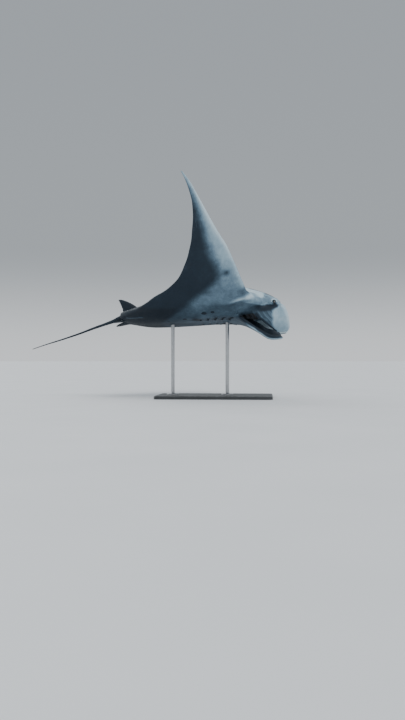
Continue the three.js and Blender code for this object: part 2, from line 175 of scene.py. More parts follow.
def _make_unbend():
    Y, Z = np.meshgrid(_ty, _tz, indexing="ij")
    s = np.arange(0, 1000, 1.0)
    cy, cz = np.interp(s, _s, _arc_y), np.interp(s, _s, _arc_z)
    S = np.empty(Y.size)
    yy, zz = Y.ravel(), Z.ravel()
    for i in range(0, yy.size, 4000):
        d = (yy[i:i + 4000, None] - cy) ** 2 + (zz[i:i + 4000, None] - cz) ** 2
        S[i:i + 4000] = s[d.argmin(1)]
    for _ in range(3):
        ph = np.radians(dihedral(S))
        S = S + (yy - np.interp(S, _s, _arc_y)) * np.cos(ph) + (zz - np.interp(S, _s, _arc_z)) * np.sin(ph)
        S = np.clip(S, 0, 1000)
    S = np.where(yy <= 280, yy, S)
    ph = np.radians(dihedral(S))
    W = -(yy - np.interp(S, _s, _arc_y)) * np.sin(ph) + (zz - np.interp(S, _s, _arc_z)) * np.cos(ph)
    return S.reshape(Y.shape), W.reshape(Y.shape)


_TS, _TW = _make_unbend()


def unbend(y, z):
    u = np.clip((y - _ty[0]) / 4.0, 0, len(_ty) - 1.001)
    v = np.clip((z - _tz[0]) / 4.0, 0, len(_tz) - 1.001)
    i, j = u.astype(int), v.astype(int)
    u, v = u - i, v - j
    out = []
    for T in (_TS, _TW):
        out.append((T[i, j] * (1 - u) + T[i + 1, j] * u) * (1 - v) + (T[i, j + 1] * (1 - u) + T[i + 1, j + 1] * u) * v)
    return out


B, P = math.radians(-5), math.radians(-4)


def world(p):
    """Body frame to the row frame, in metres: banked, nose down, at its height on the stand."""
    x, y, z = 700 - p[..., 1], p[..., 0], p[..., 2]
    y, z = y * math.cos(B) - z * math.sin(B), y * math.sin(B) + z * math.cos(B)
    x, z = x * math.cos(P) + z * math.sin(P), -x * math.sin(P) + z * math.cos(P)
    return np.stack([x, y, z + 985], -1) / 1000


# ------------------------------------------------------ relief on the disc
def bump(d, r):
    return np.exp(-((d / r) ** 2))


def segment(px, py, ax, ay, bx, by):
    """Distance to a segment, and how far along it, 0 to 1."""
    dx, dy = bx - ax, by - ay
    t = np.clip(((px - ax) * dx + (py - ay) * dy) / (dx * dx + dy * dy), 0, 1)
    return np.hypot(px - ax - t * dx, py - ay - t * dy), t


def path(px, py, pts):
    """Distance to a broken line, and how far along it, 0 to 1."""
    best, where = None, None
    for k in range(len(pts) - 1):
        d, t = segment(px, py, *pts[k], *pts[k + 1])
        u = (k + t) / (len(pts) - 1)
        if best is None:
            best, where = d, u
        else:
            where = np.where(d < best, u, where)
            best = np.minimum(d, best)
    return best, where


FOLD = [(552, 292), (562, 332), (563, 380), (554, 437), (543, 480), (528, 560), (512, 640)]
PELVIC_FOLD = [(250, 1668), (300, 1590), (338, 1512), (352, 1430)]


def relief(s, a, top, g_c):
    """Millimetres that the disc's surface stands proud, by flat place and side. s is taken without its sign."""
    out = np.zeros(np.broadcast(s, a).shape)
    under = ~top
    # a fold of skin where the raised wing leaves the flank
    near = (s > 460) & (s < 720) & (a > 260) & (a < 760)
    if near.any():
        d, u = path(s, a, FOLD)
        end = smooth(u, 0, 0.10) * (1 - smooth(u, 0.45, 0.95))
        out = out + np.where(near & under, 9 * bump(d, 14) * end, 0)
        d2, u2 = path(s - 30, a, FOLD)
        out = out - np.where(near & under, 8 * bump(d2, 18) * end, 0)
    near = (s > 180) & (s < 430) & (a > 1380) & (a < 1720)
    if near.any():
        d, u = path(s, a, PELVIC_FOLD)
        out = out + np.where(near & under, 5 * bump(d, 13) * smooth(u, 0, 0.15) * (1 - smooth(u, 0.7, 1)), 0)
    # the hollow along the shoulder, between trunk and wing, above and below
    d = s - (350 + 0.10 * (a - 700))
    out = out - 5 * bump(d, 46) * smooth(a, 560, 760) * (1 - smooth(a, 1150, 1400)) * np.where(top, 1, 0.8)
    # long flat muscles fanning out over the wing
    fan = np.sin((a - leading(s)) / (0.35 * (trailing(s) - leading(s)) + 60) * 9.5 + 0.004 * s)
    out = out + 0.8 * fan * smooth(s, 380, 620) * (1 - smooth(s, 1500, 1850)) * smooth(g_c, 0.05, 0.2) * (1 - smooth(g_c, 0.75, 0.97))
    return out


def ripple(s, c):
    """The thin rear edge of the wing waves a little, up and down."""
    g = np.abs(s)
    return smooth(c, 0.6, 1.0) * smooth(g, 380, 700) * (1 - smooth(g, 1700, 1950)) * (
        5.0 * np.sin(g / 74.0 + np.where(s < 0, 0.0, 1.3)) + 3.0 * np.sin(g / 31.0 + 0.7))


def disc_heights(g, c, top):
    w = smooth(g, 200, 760)
    share = np.where(top, body_top(c), body_under(c)) * (1 - w) + wing_shape(c) * w
    return np.maximum(np.where(top, back_thick(g), belly_thick(g)) * share, 4)


def disc(s, t):
    """A point of the disc in the flat frame: t goes round the chord, 0 at the rear edge, 0.5 at the front."""
    g = np.abs(s)
    c = 0.5 * (1 + np.cos(2 * np.pi * t))
    top = t < 0.5
    nose = np.sqrt(np.clip(1 - (1 - np.clip(c / 0.035, 0, 1)) ** 2, 0, 1))
    tail = np.sqrt(np.clip(1 - (1 - np.clip((1 - c) / 0.012, 0, 1)) ** 2, 0, 1))
    a = leading(g) + (trailing(g) - leading(g)) * c
    h = (disc_heights(g, c, top) + relief(g, a, top, c)) * nose * tail
    return np.stack([s + 0 * a, a, np.where(top, h, -h)], -1)


def disc_field(s, a, w):
    le, te = leading(s), trailing(s)
    chord = te - le
    c = (a - le) / chord
    cc = np.clip(c, 0, 1)
    top = w > 0
    h = disc_heights(s, cc, top)
    xn = np.clip(1 - c / 0.035, 0, None)
    xt = np.clip(1 - (1 - c) / 0.012, 0, None)
    rho = xn**2 + xt**2 + (w / h) ** 2
    D = np.sqrt((xn / (0.035 * chord)) ** 2 + (xt / (0.012 * chord)) ** 2 + (w / h**2) ** 2)
    return (rho - 1) / (2 * np.maximum(D, 0.25 / h)) - relief(s, a, top, cc)


# --------------------------------------------------------- blocks and fins
def block_field(y, a, z, width, top, under, nw, nh):
    w, zt, zb = width(a), top(a), under(a)
    mid, half = (zt + zb) / 2, (zt - zb) / 2
    dw, dt, db = slope(width, a), slope(top, a), slope(under, a)
    dm, dh = (dt + db) / 2, (dt - db) / 2
    u, v = y / w, (z - mid) / half
    av = np.abs(v)
    un, vn = u**nw, av**nh
    F = un + vn + 1e-6
    fy = nw * u ** (nw - 1) / w
    vg = nh * av ** (nh - 1)
    fz = vg / half
    fa = -nw * un * dw / w - vg * (np.sign(v) * dm + av * dh) / half
    p = 0.5 * (nw + nh)
    return p * (F - F ** (1 - 1 / p)) / np.maximum(np.sqrt(fy**2 + fz**2 + fa**2), 1e-9)


def ball_field(y, a, z, centre, size):
    u = [(q - c) / r for q, c, r in zip((y, a, z), centre, size)]
    G = np.sqrt(u[0] ** 2 + u[1] ** 2 + u[2] ** 2) + 1e-6
    D = np.sqrt((u[0] / size[0]) ** 2 + (u[1] / size[1]) ** 2 + (u[2] / size[2]) ** 2) / G + 1e-9
    return (G - 1) / D


def tube_field(y, a, z, pts, reach=45.0):
    """Distance to a rounded bead along 3-D points, each with its own radius."""
    y, a, z = np.broadcast_arrays(y, a, z)
    out = np.full(y.shape, reach)
    p = np.array(pts, float)
    lo, hi = p[:, :3].min(0) - reach, p[:, :3].max(0) + reach
    m = (y < hi[0]) & (a > lo[1]) & (a < hi[1]) & (z > lo[2]) & (z < hi[2])
    idx = np.nonzero(m)
    if len(idx[0]):
        q = np.stack([y[idx], a[idx], z[idx]], -1)
        best = np.full(len(q), reach)
        for A, Bq in zip(p[:-1], p[1:]):
            d = Bq[:3] - A[:3]
            t = np.clip(((q - A[:3]) @ d) / (d @ d), 0, 1)
            gap = np.linalg.norm(q - A[:3] - t[:, None] * d, axis=1) - (A[3] + t * (Bq[3] - A[3]))
            best = np.minimum(best, gap)
        out[idx] = best
    return out


def smooth_line(pts, n=5):
    """The same points with rounder turns."""
    p = np.array(pts, float)
    t = np.arange(len(p), dtype=float)
    cols = [curve(*zip(t, p[:, k])) for k in range(p.shape[1])]
    q = np.linspace(0, len(p) - 1, (len(p) - 1) * n + 1)
    return np.stack([c(q) for c in cols], -1)


def sheet(points, thick):
    """A curved sheet through rows of points, with half its thickness at each."""
    Pn, T = np.array(points, float), np.array(thick, float)
    n, m = T.shape
    faces = [(i * m + j, i * m + j + 1, (i + 1) * m + j + 1, (i + 1) * m + j) for i in range(n - 1) for j in range(m - 1)]
    flat = Pn.reshape(-1, 3)
    return BVHTree.FromPolygons([tuple(p) for p in flat], faces), Pn, T, flat.min(0), flat.max(0)


def sheet_field(made, y, a, z, reach=62.0, want_place=False):
    """Distance to the sheet's rounded surface, and where along its rows and columns (0 to 1)."""
    bvh, Pn, T, lo, hi = made
    y, a, z = np.broadcast_arrays(y, a, z)
    out = np.full(y.shape, 40.0)
    place = [np.full(y.shape, -1.0), np.full(y.shape, -1.0)] if want_place else None
    m = (y > lo[0] - reach) & (y < hi[0] + reach) & (a > lo[1] - reach) & (a < hi[1] + reach) & (z > lo[2] - reach) & (z < hi[2] + reach)
    idx = np.nonzero(m)
    if len(idx[0]):
        pts = np.stack([y[idx], a[idx], z[idx]], -1)
        loc = np.zeros_like(pts)
        face = np.full(len(pts), -1)
        dist = np.full(len(pts), reach)
        find = bvh.find_nearest
        for i, q in enumerate(pts.tolist()):
            co, _, k, d = find(q, reach)
            if co is not None:
                loc[i] = co
                face[i] = k
                dist[i] = d
        hit = face >= 0
        cols = T.shape[1] - 1
        i, j = np.maximum(face, 0) // cols, np.maximum(face, 0) % cols
        p0 = Pn[i, j]
        du, dv, dl = Pn[i, j + 1] - p0, Pn[i + 1, j] - p0, loc - p0
        fu = np.clip((dl * du).sum(1) / np.maximum((du * du).sum(1), 1e-9), 0, 1)
        fv = np.clip((dl * dv).sum(1) / np.maximum((dv * dv).sum(1), 1e-9), 0, 1)
        th = (T[i, j] * (1 - fu) + T[i, j + 1] * fu) * (1 - fv) + (T[i + 1, j] * (1 - fu) + T[i + 1, j + 1] * fu) * fv
        out[idx] = np.where(hit, dist - th, 40.0)
        if want_place:
            place[0][idx] = np.where(hit, (j + fu) / cols, -1)
            place[1][idx] = np.where(hit, (i + fv) / (T.shape[0] - 1), -1)
    return (out, place) if want_place else out


def lobe_rows():
    """The cephalic lobe's middle surface: a broad blade that hangs from the side of the mouth and curls inwards."""
    rows, thick = [], []
    q = np.linspace(0, 1, 44)
    for v in np.concatenate([[-0.2, -0.1], np.linspace(0, 0.97, 46)]):
        vv = max(v, 0.0)
        ra, rz = float(lobe_rear_aft(vv)), float(lobe_rear_z(vv))
        fa, fz = float(lobe_front_aft(vv)) + 170 * max(-v, 0), float(lobe_front_z(vv))
        edge = 6.0 + 2.0 * (1 - vv)
        inset = min(edge / math.hypot(fa - ra, fz - rz), 0.35)
        u = inset + (1 - 2 * inset) * q
        a = ra + (fa - ra) * u
        z = rz + (fz - rz) * u
        inward = 150 * vv**2.2 + 45 * u * u * vv + 30 * u**3
        y = 372 + 18 * math.sin(2.51 * vv) - inward
        # below the eye the blade grows out of the side of the head
        y = y + v * np.where(v < 0, 150.0, 0) * (1 - 0.4 * u)
        z = z - v * np.where(v < 0, 230.0, 0) * (0.6 + 0.4 * u)
        full = (4 * u * (1 - u)) ** 0.45
        h = 0.5 * float(lobe_thick(vv)) * full
        h = h + 0.9 * np.sin(vv * 3.0 + u * 24.0) * smooth(vv, 0.12, 0.4) * (1 - smooth(vv, 0.8, 1.0))
        h = h + 2.6 * np.exp(-(((u - 0.95) / 0.05) ** 2)) * smooth(vv, 0.1, 0.35)
        rows.append(np.stack([y, a, z], -1))
        thick.append(np.maximum(h, edge * (1 - 0.25 * smooth(vv, 0.9, 1.0))))
    return sheet(rows, thick)


LOBE = lobe_rows()


def fin_sheet(rows, thick, place, n=30, edge=2.6):
    t = np.linspace(0, 1, len(rows))
    cols = [curve(*[(t[i], r[k]) for i, r in enumerate(rows)]) for k in range(3)]
    th = curve(*[(t[i], q) for i, q in enumerate(thick)])
    q = np.linspace(0, 1, 36)
    pts, hs = [], []
    for r in np.linspace(0, 1, n):
        front, rear, rise = (float(c(r)) for c in cols)
        inset = min(edge / max(rear - front, 1), 0.3)
        u = inset + (1 - 2 * inset) * q
        pts.append(place(front + (rear - front) * u, rise))
        hs.append(np.maximum(0.5 * float(th(r)) * np.sqrt(4 * u * (1 - u)) * (1 - 0.45 * u), edge))
    return sheet(pts, hs)


DORSAL = fin_sheet([(1545, 1748, 0), (1572, 1756, 66), (1606, 1764, 98), (1650, 1774, 130), (1702, 1786, 160), (1748, 1796, 180), (1778, 1802, 188)], [34, 30, 25, 20, 15, 11, 7],
                   lambda a, rise: np.stack([0 * a, a, 26 + rise + 0 * a], -1))
PELVIC = fin_sheet([(1590, 1812, 0), (1612, 1838, 32), (1660, 1858, 66), (1730, 1866, 92), (1790, 1864, 104)], [34, 26, 19, 13, 8],
                   lambda a, rise: np.stack([62 + rise * 0.9 + 0 * a, a, -46 - rise * 0.12 - 0.1 * np.maximum(a - 1700, 0)], -1))

GILLS = [(520 + 82 * i, 112 - 10 * i, 232 - 12 * i, math.radians(-14 + 2 * i)) for i in range(5)]


# the rolled edge of the lower lip, and of the upper lip across the snout
LOWER_LIP = smooth_line([(0, -27, -356, 11), (90, -27, -356, 11), (170, -20, -354, 11), (228, -2, -351, 11), (278, 50, -341, 11), (308, 118, -314, 10), (331, 214, -254, 10), (352, 308, -192, 9), (376, 396, -138, 8)], 3)
UPPER_LIP = smooth_line([(0, -16, -21, 13), (120, -16, -21, 13), (220, -15, -22, 13), (290, -12, -25, 12), (330, 2, -32, 11), (350, 30, -42, 9)], 3)


def field(y, a, z, fine=True):
    """Signed distance, near enough, to the whole skin inside |y| < 560. y is taken without its sign."""
    s, w = unbend(y, z)
    f = disc_field(s, a, w)
    mouth = block_field(y, a, z, mouth_width, mouth_roof, mouth_floor, 3.4, 3.0)
    # gill arches: ridges across the roof, sides and floor of the mouth
    arch = a + 0.00035 * y**2
    ridge = (0.5 + 0.5 * np.cos(2 * np.pi * (arch - 20) / 56.0)) ** 1.5
    mouth = mouth + 9 * ridge * smooth(a, 175, 260) * (1 - smooth(a, 520, 560))
    mouth = smax(mouth, a - 556, 24)
    skull = block_field(y, a, z, head_width, head_top, head_under, 2.6, 2.2)
    skull = smax(smax(skull, -26 - a, 8), a - 560, 10)
    # below the snout the lobe alone closes the side of the mouth
    skull = smax(skull, -42 + 82 * smooth(-z, 30, 66) - a, 22)
    # the upper lip is a soft roll
    skull = skull - 4 * bump(mouth, 16) * smooth(-z, 10, 30) * (1 - smooth(a, 330, 420))
    jaw = block_field(y, a, z, jaw_width, jaw_top, jaw_under, 3.2, 2.4)
    jaw = smax(smax(jaw, -33 - a, 10), a - 700, 10)
    jaw = jaw - 5 * bump(mouth, 15) * smooth(-z, 110, 150)
    f = smin(f, skull, 44)
    f = smin(f, jaw, 34)
    # the brow that carries the eye
    brow = ball_field(y, a, z, (EYE_Y - 36, EYE_A + 16, EYE_Z + 4), (74, 56, 42))
    f = smin(f, brow, 24)
    # raised midline of the back, and the soft shoulders beside it
    upper = smooth(w, 40, 90)
    f = f - upper * (5 * bump(y, 26) * smooth(a, 420, 620) * (1 - smooth(a, 1480, 1560)))
    # spiracle: a short crescent slit behind the eye, above the brow
    d = np.sqrt(((a - 132 - 0.016 * (z - 62) ** 2) / 4.6) ** 2 + ((z - 62) / 13.0) ** 2)
    f = f + np.where(y > 250, 8 * np.exp(-d * d), 0) - np.where(y > 250, 1.6 * np.exp(-((d - 2.0) / 0.7) ** 2), 0)
    # gill slits, each with the edge of its flap standing over it
    low = smooth(-z, 30, 70)
    for ga, half, mid, turn in GILLS:
        ca, sa = math.cos(turn), math.sin(turn)
        p = (y - mid) * ca + (a - ga) * sa
        q = -(y - mid) * sa + (a - ga) * ca
        q = q + 0.0016 * p**2 - 6
        e = 1 - smooth(np.abs(p), half - 26, half)
        f = f + low * e * (17 * bump(q, 6.5) - 5.0 * bump(q + 15, 11) - 1.5 * bump(q - 15, 9))
    # folds of slack skin that run round the corner of the mouth
    r = np.hypot(a - 395, z + 122)
    ang = np.arctan2(z + 122, a - 395)
    side = smooth(y, 250, 330)
    f = f + side * 2.4 * np.cos(r / 15.0 * 2 * np.pi / 1.6) * smooth(r, 22, 40) * (1 - smooth(r, 60, 120)) * smooth(np.cos(ang - 0.35), 0.1, 0.7)
    f = smax(f, -mouth, 15)
    # the floor of the mouth swells up between the jaws
    rise = z - mouth_floor(a)
    swell = (np.sqrt((y / 222) ** 2 + ((a - 168) / 196) ** 4 + (rise / 90) ** 2) - 1) * 60
    f = smin(f, np.maximum(swell, -8 - rise), 22)
    f = smin(f, tube_field(y, a, z, LOWER_LIP), 9)
    f = smin(f, tube_field(y, a, z, UPPER_LIP), 8)
    # the lobe grows from the side of the mouth
    lobe = sheet_field(LOBE, y, a, z)
    k = 30 - 27 * smooth(-z, 110, 190)
    apart = 5 - np.maximum(f, lobe)
    f = smin(f, lobe, k)
    # its tip hangs clear of the lower lip
    f = np.where(z < -236, np.maximum(f, apart), f)
    # lids: a rounded opening with a fold round it
    ea, ez = (a - EYE_A), (z - EYE_Z)
    flare = np.clip(y - 400, 0, None) * 0.4
    rr = np.sqrt((ea / (17.5 + flare)) ** 2 + (ez / (12.0 + flare)) ** 2)
    out = y > 330
    ring = np.sqrt((ea / 17.5) ** 2 + (ez / 12.5) ** 2)
    f = f - np.where(out, 3.4 * np.exp(-((ring - 1.5) / 0.36) ** 2) * (1 + 0.35 * smooth(ez, 0, 14)) - 2.0 * np.exp(-((ring - 2.3) / 0.32) ** 2) + 1.2 * np.exp(-((ring - 2.95) / 0.3) ** 2), 0)
    hole = np.maximum((rr - 1) * (13 + 0.6 * flare), 386 - y)
    f = smax(f, -np.where(out, hole, 60.0), 5)
    # fins and tail
    f = smin(f, sheet_field(DORSAL, y, a, z), 22)
    f = smin(f, sheet_field(PELVIC, y, a, z), 20)
    r = tail_radius(a)
    tail = (np.sqrt((y / (1.1 * r)) ** 2 + ((z - tail_z(a)) / r) ** 2) - 1) * r
    tail = smax(tail, 1690 - a, 10)
    f = smin(f, tail, 26)
    f = smin(f, ball_field(y, a, z, (0, 1826, -6), (27, 11, 13)), 10)
    return f


# ------------------------------------------------------------ surface nets
def grid_lines(*parts):
    out = [parts[0][0]]
    for a, b, step in parts:
        n = max(1, round((b - a) / step))
        out += list(a + (b - a) * (np.arange(n) + 1) / n)
    return np.array(out, float)


Y_END, A_END = 545.0, 1900.0
ys = grid_lines((0, 40, 4), (40, 190, 8.5), (190, 330, 6), (330, 425, 3.2), (425, Y_END, 7))
ys = np.concatenate([-ys[:0:-1], ys])
as_ = grid_lines((-135, -40, 6.5), (-40, 95, 3.2), (95, 460, 6), (460, 950, 6), (950, 1500, 11), (1500, 1760, 6.5), (1760, A_END, 5))
zs = grid_lines((-402, -150, 6), (-150, -45, 4.5), (-45, 30, 3.2), (30, 100, 5), (100, 282, 6.5))


def surface_nets(F, X, Y, Z):
    inside = F < 0
    n0, n1, n2 = F.shape
    corner = [(i, j, k) for i in (0, 1) for j in (0, 1) for k in (0, 1)]
    sl = lambda A, i, j, k: A[i:n0 - 1 + i, j:n1 - 1 + j, k:n2 - 1 + k]
    some = np.zeros((n0 - 1, n1 - 1, n2 - 1), bool)
    every = np.ones_like(some)
    for c in corner:
        some |= sl(inside, *c)
        every &= sl(inside, *c)
    active = some & ~every
    I, J, K = np.nonzero(active)
    vid = np.full(active.shape, -1, np.int64)
    vid[I, J, K] = np.arange(len(I))
    val = [F[I + c[0], J + c[1], K + c[2]] for c in corner]
    pos = [np.stack([X[I + c[0]], Y[J + c[1]], Z[K + c[2]]], -1) for c in corner]
    total, count = np.zeros((len(I), 3)), np.zeros(len(I))
    for p in range(8):
        for q in range(p + 1, 8):
            if sum(abs(corner[p][r] - corner[q][r]) for r in range(3)) != 1:
                continue
            m = (val[p] < 0) != (val[q] < 0)
            t = (val[p][m] / (val[p][m] - val[q][m]))[:, None]
            total[m] += pos[p][m] + t * (pos[q][m] - pos[p][m])
            count[m] += 1
    verts = total / count[:, None]
    quads = []

    def add(cr, offs, axis):
        i, j, k = np.nonzero(cr)
        if axis == 0:
            j, k = j + 1, k + 1
            c = [(i, j - 1, k - 1), (i, j, k - 1), (i, j, k), (i, j - 1, k)]
            flip = inside[i + 1, j, k]
        elif axis == 1:
            i, k = i + 1, k + 1
            c = [(i - 1, j, k - 1), (i - 1, j, k), (i, j, k), (i, j, k - 1)]
            flip = inside[i, j + 1, k]
        else:
            i, j = i + 1, j + 1
            c = [(i - 1, j - 1, k), (i, j - 1, k), (i, j, k), (i - 1, j, k)]
            flip = inside[i, j, k + 1]
        q = np.stack([vid[x] for x in c], -1)
        q[flip] = q[flip][:, ::-1]
        quads.append(q)

    add((inside[:-1] != inside[1:])[:, 1:-1, 1:-1], None, 0)
    add((inside[:, :-1] != inside[:, 1:])[1:-1, :, 1:-1], None, 1)
    add((inside[:, :, :-1] != inside[:, :, 1:])[1:-1, 1:-1, :], None, 2)
    return verts, np.concatenate(quads)


def eval_points(p):
    return field(np.abs(p[:, 0]), p[:, 1], p[:, 2])


def gradient(p, e=0.6):
    g = np.empty_like(p)
    for k in range(3):
        d = np.zeros(3)
        d[k] = e
        g[:, k] = (eval_points(p + d) - eval_points(p - d)) / (2 * e)
    return g


def boundary_loops(quads):
    """Directed open edges of the faces, walked into loops."""
    e = np.concatenate([quads[:, [k, (k + 1) % 4]] for k in range(4)])
    key = e[:, 0] * 10**7 + e[:, 1]
    rev = e[:, 1] * 10**7 + e[:, 0]
    free = e[~np.isin(key, rev)]
    nxt = {int(a): int(b) for a, b in free}
    loops = []
    while nxt:
        start, _ = next(iter(nxt.items()))
        loop, cur = [start], nxt.pop(start)
        while cur != start and cur in nxt:
            loop.append(cur)
            cur = nxt.pop(cur)
        loops.append(loop)
    return loops


def keep_largest(verts, quads):
    n = len(verts)
    label = np.arange(n)
    e = np.concatenate([quads[:, [0, 1]], quads[:, [1, 2]], quads[:, [2, 3]], quads[:, [3, 0]]])
    while True:
        low = np.minimum(label[e[:, 0]], label[e[:, 1]])
        new = label.copy()
        np.minimum.at(new, e[:, 0], low)
        np.minimum.at(new, e[:, 1], low)
        new = new[new]
        if (new == label).all():
            break
        label = new
    ids, cnt = np.unique(label, return_counts=True)
    keep = label == ids[cnt.argmax()]
    remap = np.cumsum(keep) - 1
    return verts[keep], remap[quads[keep[quads[:, 0]]]]


def build_body():
    half = ys[len(ys) // 2:]
    F = np.empty((len(half), len(as_), len(zs)), np.float32)
    step = 12
    for i in range(0, len(half), step):
        F[i:i + step] = field(half[i:i + step, None, None], as_[None, :, None], zs[None, None, :])
    F = np.concatenate([F[:0:-1], F])
    verts, quads = surface_nets(F, ys, as_, zs)
    verts, quads = keep_largest(verts, quads)
    edges = np.concatenate([quads[:, [0, 1]], quads[:, [1, 2]], quads[:, [2, 3]], quads[:, [3, 0]]])
    loops = boundary_loops(quads)
    rim = np.zeros(len(verts), bool)
    for lp in loops:
        rim[lp] = True
    deg = np.bincount(edges[:, 0], minlength=len(verts)) + np.bincount(edges[:, 1], minlength=len(verts))
    for it in range(3):
        g = gradient(verts)
        gn = g / np.maximum(np.linalg.norm(g, axis=1, keepdims=True), 1e-6)
        f = eval_points(verts)
        stepv = np.clip(f / np.maximum(np.linalg.norm(g, axis=1), 0.3), -5, 5)[:, None] * gn
        if it < 2:
            mean = np.stack([np.bincount(edges[:, 0], verts[edges[:, 1], k], len(verts)) + np.bincount(edges[:, 1], verts[edges[:, 0], k], len(verts)) for k in range(3)], -1) / deg[:, None]
            pull = 0.5 * (mean - verts)
            pull -= (pull * gn).sum(1, keepdims=True) * gn
            pull[rim] = 0
            verts = verts + pull
        stepv[rim] *= np.array([1, 1, 1])
        verts = verts - stepv
    return verts, quads, loops


print("skin: field")
body_v, body_q, loops = build_body()
print("skin: body", len(body_v), len(body_q), [len(lp) for lp in loops])

verts = [body_v]
faces = [tuple(q) for q in body_q.tolist()]
count = len(body_v)
s_, w_ = unbend(np.abs(body_v[:, 0]), body_v[:, 2])
flats = [np.stack([np.where(body_v[:, 0] < 0, -1, 1) * s_, body_v[:, 1], w_], -1)]


def add_ring(pts, flat):
    global count
    verts.append(pts)
    flats.append(flat)
    ids = np.arange(count, count + len(pts))
    count += len(pts)
    return ids


def join(A, Bn, keep=None):
    """Faces from the loop A (in the order that the open faces use it) to the loop Bn, which has a point for each A index in keep."""
    n = len(A)
    keep = list(range(n)) if keep is None else keep
    m = len(keep)
    for q in range(m):
        i0, i1 = keep[q], keep[(q + 1) % m]
        gap = (i1 - i0) % n
        b0, b1 = int(Bn[q]), int(Bn[(q + 1) % m])
        if gap == 1:
            faces.append((int(A[i1]), int(A[i0]), b0, b1))
        else:
            A0, A1, A2 = int(A[i0]), int(A[(i0 + 1) % n]), int(A[i1])
            faces.append((A1, A0, b0))
            faces.append((A1, b0, b1))
            faces.append((A2, A1, b1))


def cap(A, point, flat):
    ids = add_ring(point[None], flat[None])
    n = len(A)
    for k in range(n):
        faces.append((int(A[(k + 1) % n]), int(A[k]), int(ids[0])))


def grow_wing(loop, side):
    pts = body_v[loop]
    fl = flats[0][loop]
    s0 = np.abs(fl[:, 0])
    # where each rim point sits round the chord
    tt = (np.arange(3000) + 0.5) / 3000
    t = np.empty(len(loop))
    for k in range(len(loop)):
        d = disc(np.full(3000, s0[k]), tt)
        t[k] = tt[((d[:, 1] - fl[k, 1]) ** 2 + (d[:, 2] - fl[k, 2]) ** 2).argmin()]
    t = t % 1.0
    # keep the order strictly going one way round
    fwd = np.sum(((np.roll(t, -1) - t + 0.5) % 1.0 - 0.5) > 0) > len(t) / 2
    u = np.unwrap(t * 2 * np.pi) / (2 * np.pi)
    if not fwd:
        u = -u
    for k in range(1, len(u)):
        u[k] = max(u[k], u[k - 1] + 1e-4)
    t = (u if fwd else -u) % 1.0
    A = np.array(loop)
    first = 628.0
    for m in range(1, 9):
        s = s0 + (first - s0) * m / 8
        flat = disc(s * side, t)
        c = (flat[:, 1] - leading(s)) / (trailing(s) - leading(s))
        flat[:, 2] += ripple(flat[:, 0], c)
        Bn = add_ring(bend(flat), flat)
        join(A, Bn)
        A = Bn
    stations = np.concatenate([np.arange(634, 706, 6), np.arange(712, 1000, 12), np.arange(1010, 1880, 14), np.arange(1886, 1974, 7), [1974.5]])
    thin_at = [760, 1180, 1640, 1900]
    for s in stations:
        keep = None
        if thin_at and s > thin_at[0]:
            thin_at.pop(0)
            keep = list(range(0, len(A), 2))
            t = t[keep]
        flat = disc(np.full(len(t), s * side), t)
        c = 0.5 * (1 + np.cos(2 * np.pi * t))
        flat[:, 2] += ripple(flat[:, 0], c)
        Bn = add_ring(bend(flat), flat)
        join(A, Bn, keep)
        A = Bn
    flat = disc(np.array([HALF_SPAN * side * 0.9999] * 2), np.array([0.25, 0.75])).mean(0)
    cap(A, bend(flat), flat)


def grow_tail(loop):
    pts = body_v[loop]
    a0 = pts[:, 1]
    ang = np.arctan2((pts[:, 2] - tail_z(a0)), pts[:, 0] / 1.1)
    A = np.array(loop)
    for a in np.concatenate([np.arange(1908, 2100, 9), np.arange(2110, 2780, 14), np.arange(2786, 2827, 6)]):
        r = float(tail_radius(a)) * (1 + 0.035 * math.sin(a / 23.0) * math.sin(a / 61.0) + 0.012 * np.sin(3 * ang + a / 40.0))
        p = np.stack([1.1 * r * np.cos(ang), np.full(len(ang), a), float(tail_z(a)) + r * np.sin(ang)], -1)
        Bn = add_ring(p, p)
        join(A, Bn)
        A = Bn
    p = np.array([0, TAIL_END, float(tail_z(TAIL_END))])
    cap(A, p, p)


for lp in loops:
    m = body_v[lp].mean(0)
    if len(lp) < 12:
        print("small open loop", len(lp), m)
    elif m[1] > A_END - 30:
        grow_tail(lp)
    elif abs(m[0]) > Y_END - 30:
        grow_wing(lp, 1 if m[0] > 0 else -1)
    else:
        print("unexpected loop", len(lp), m)

V = np.concatenate(verts)
FLAT = np.concatenate(flats)
print("skin: all", len(V), len(faces))

skin_mesh = bpy.data.meshes.new("manta_skin")
skin_mesh.from_pydata(world(V).tolist(), [], faces)
skin_mesh.update()
skin = bpy.data.objects.new("manta_skin", skin_mesh)
scene.collection.objects.link(skin)
skin_mesh.polygons.foreach_set("use_smooth", [True] * len(skin_mesh.polygons))

# ------------------------------------------------------------ the skin's tone
# shade: 0 is the darkest slate of the back, 1 the palest underside. spots: where dark spots may stand.


def vertex_normals():
    n = np.zeros(len(skin_mesh.vertices) * 3)
    skin_mesh.vertices.foreach_get("normal", n)
    n = n.reshape(-1, 3)
    # back from the row frame to the body frame
    x, y, z = n[:, 0], n[:, 1], n[:, 2]
    x, z = x * math.cos(P) - z * math.sin(P), x * math.sin(P) + z * math.cos(P)
    y, z = y * math.cos(B) + z * math.sin(B), -y * math.sin(B) + z * math.cos(B)
    return np.stack([y, -x, z], -1)


def mix(a, b, t):
    return a + (b - a) * t


N = vertex_normals()
yy, aa, zz = V.T
g = np.abs(FLAT[:, 0])
af, ww = FLAT[:, 1], FLAT[:, 2]
ay = np.abs(yy)
c = np.clip((af - leading(g)) / (trailing(g) - leading(g)), 0, 1)
inner = 1 - smooth(g, 430, 520)
# how far a point belongs to the underside
wing_under = smooth(-ww, -3, 6)
body_under_side = smooth(-N[:, 2], -0.15, 0.25) * smooth(-zz, -10, 40)
under = mix(wing_under, body_under_side, inner)

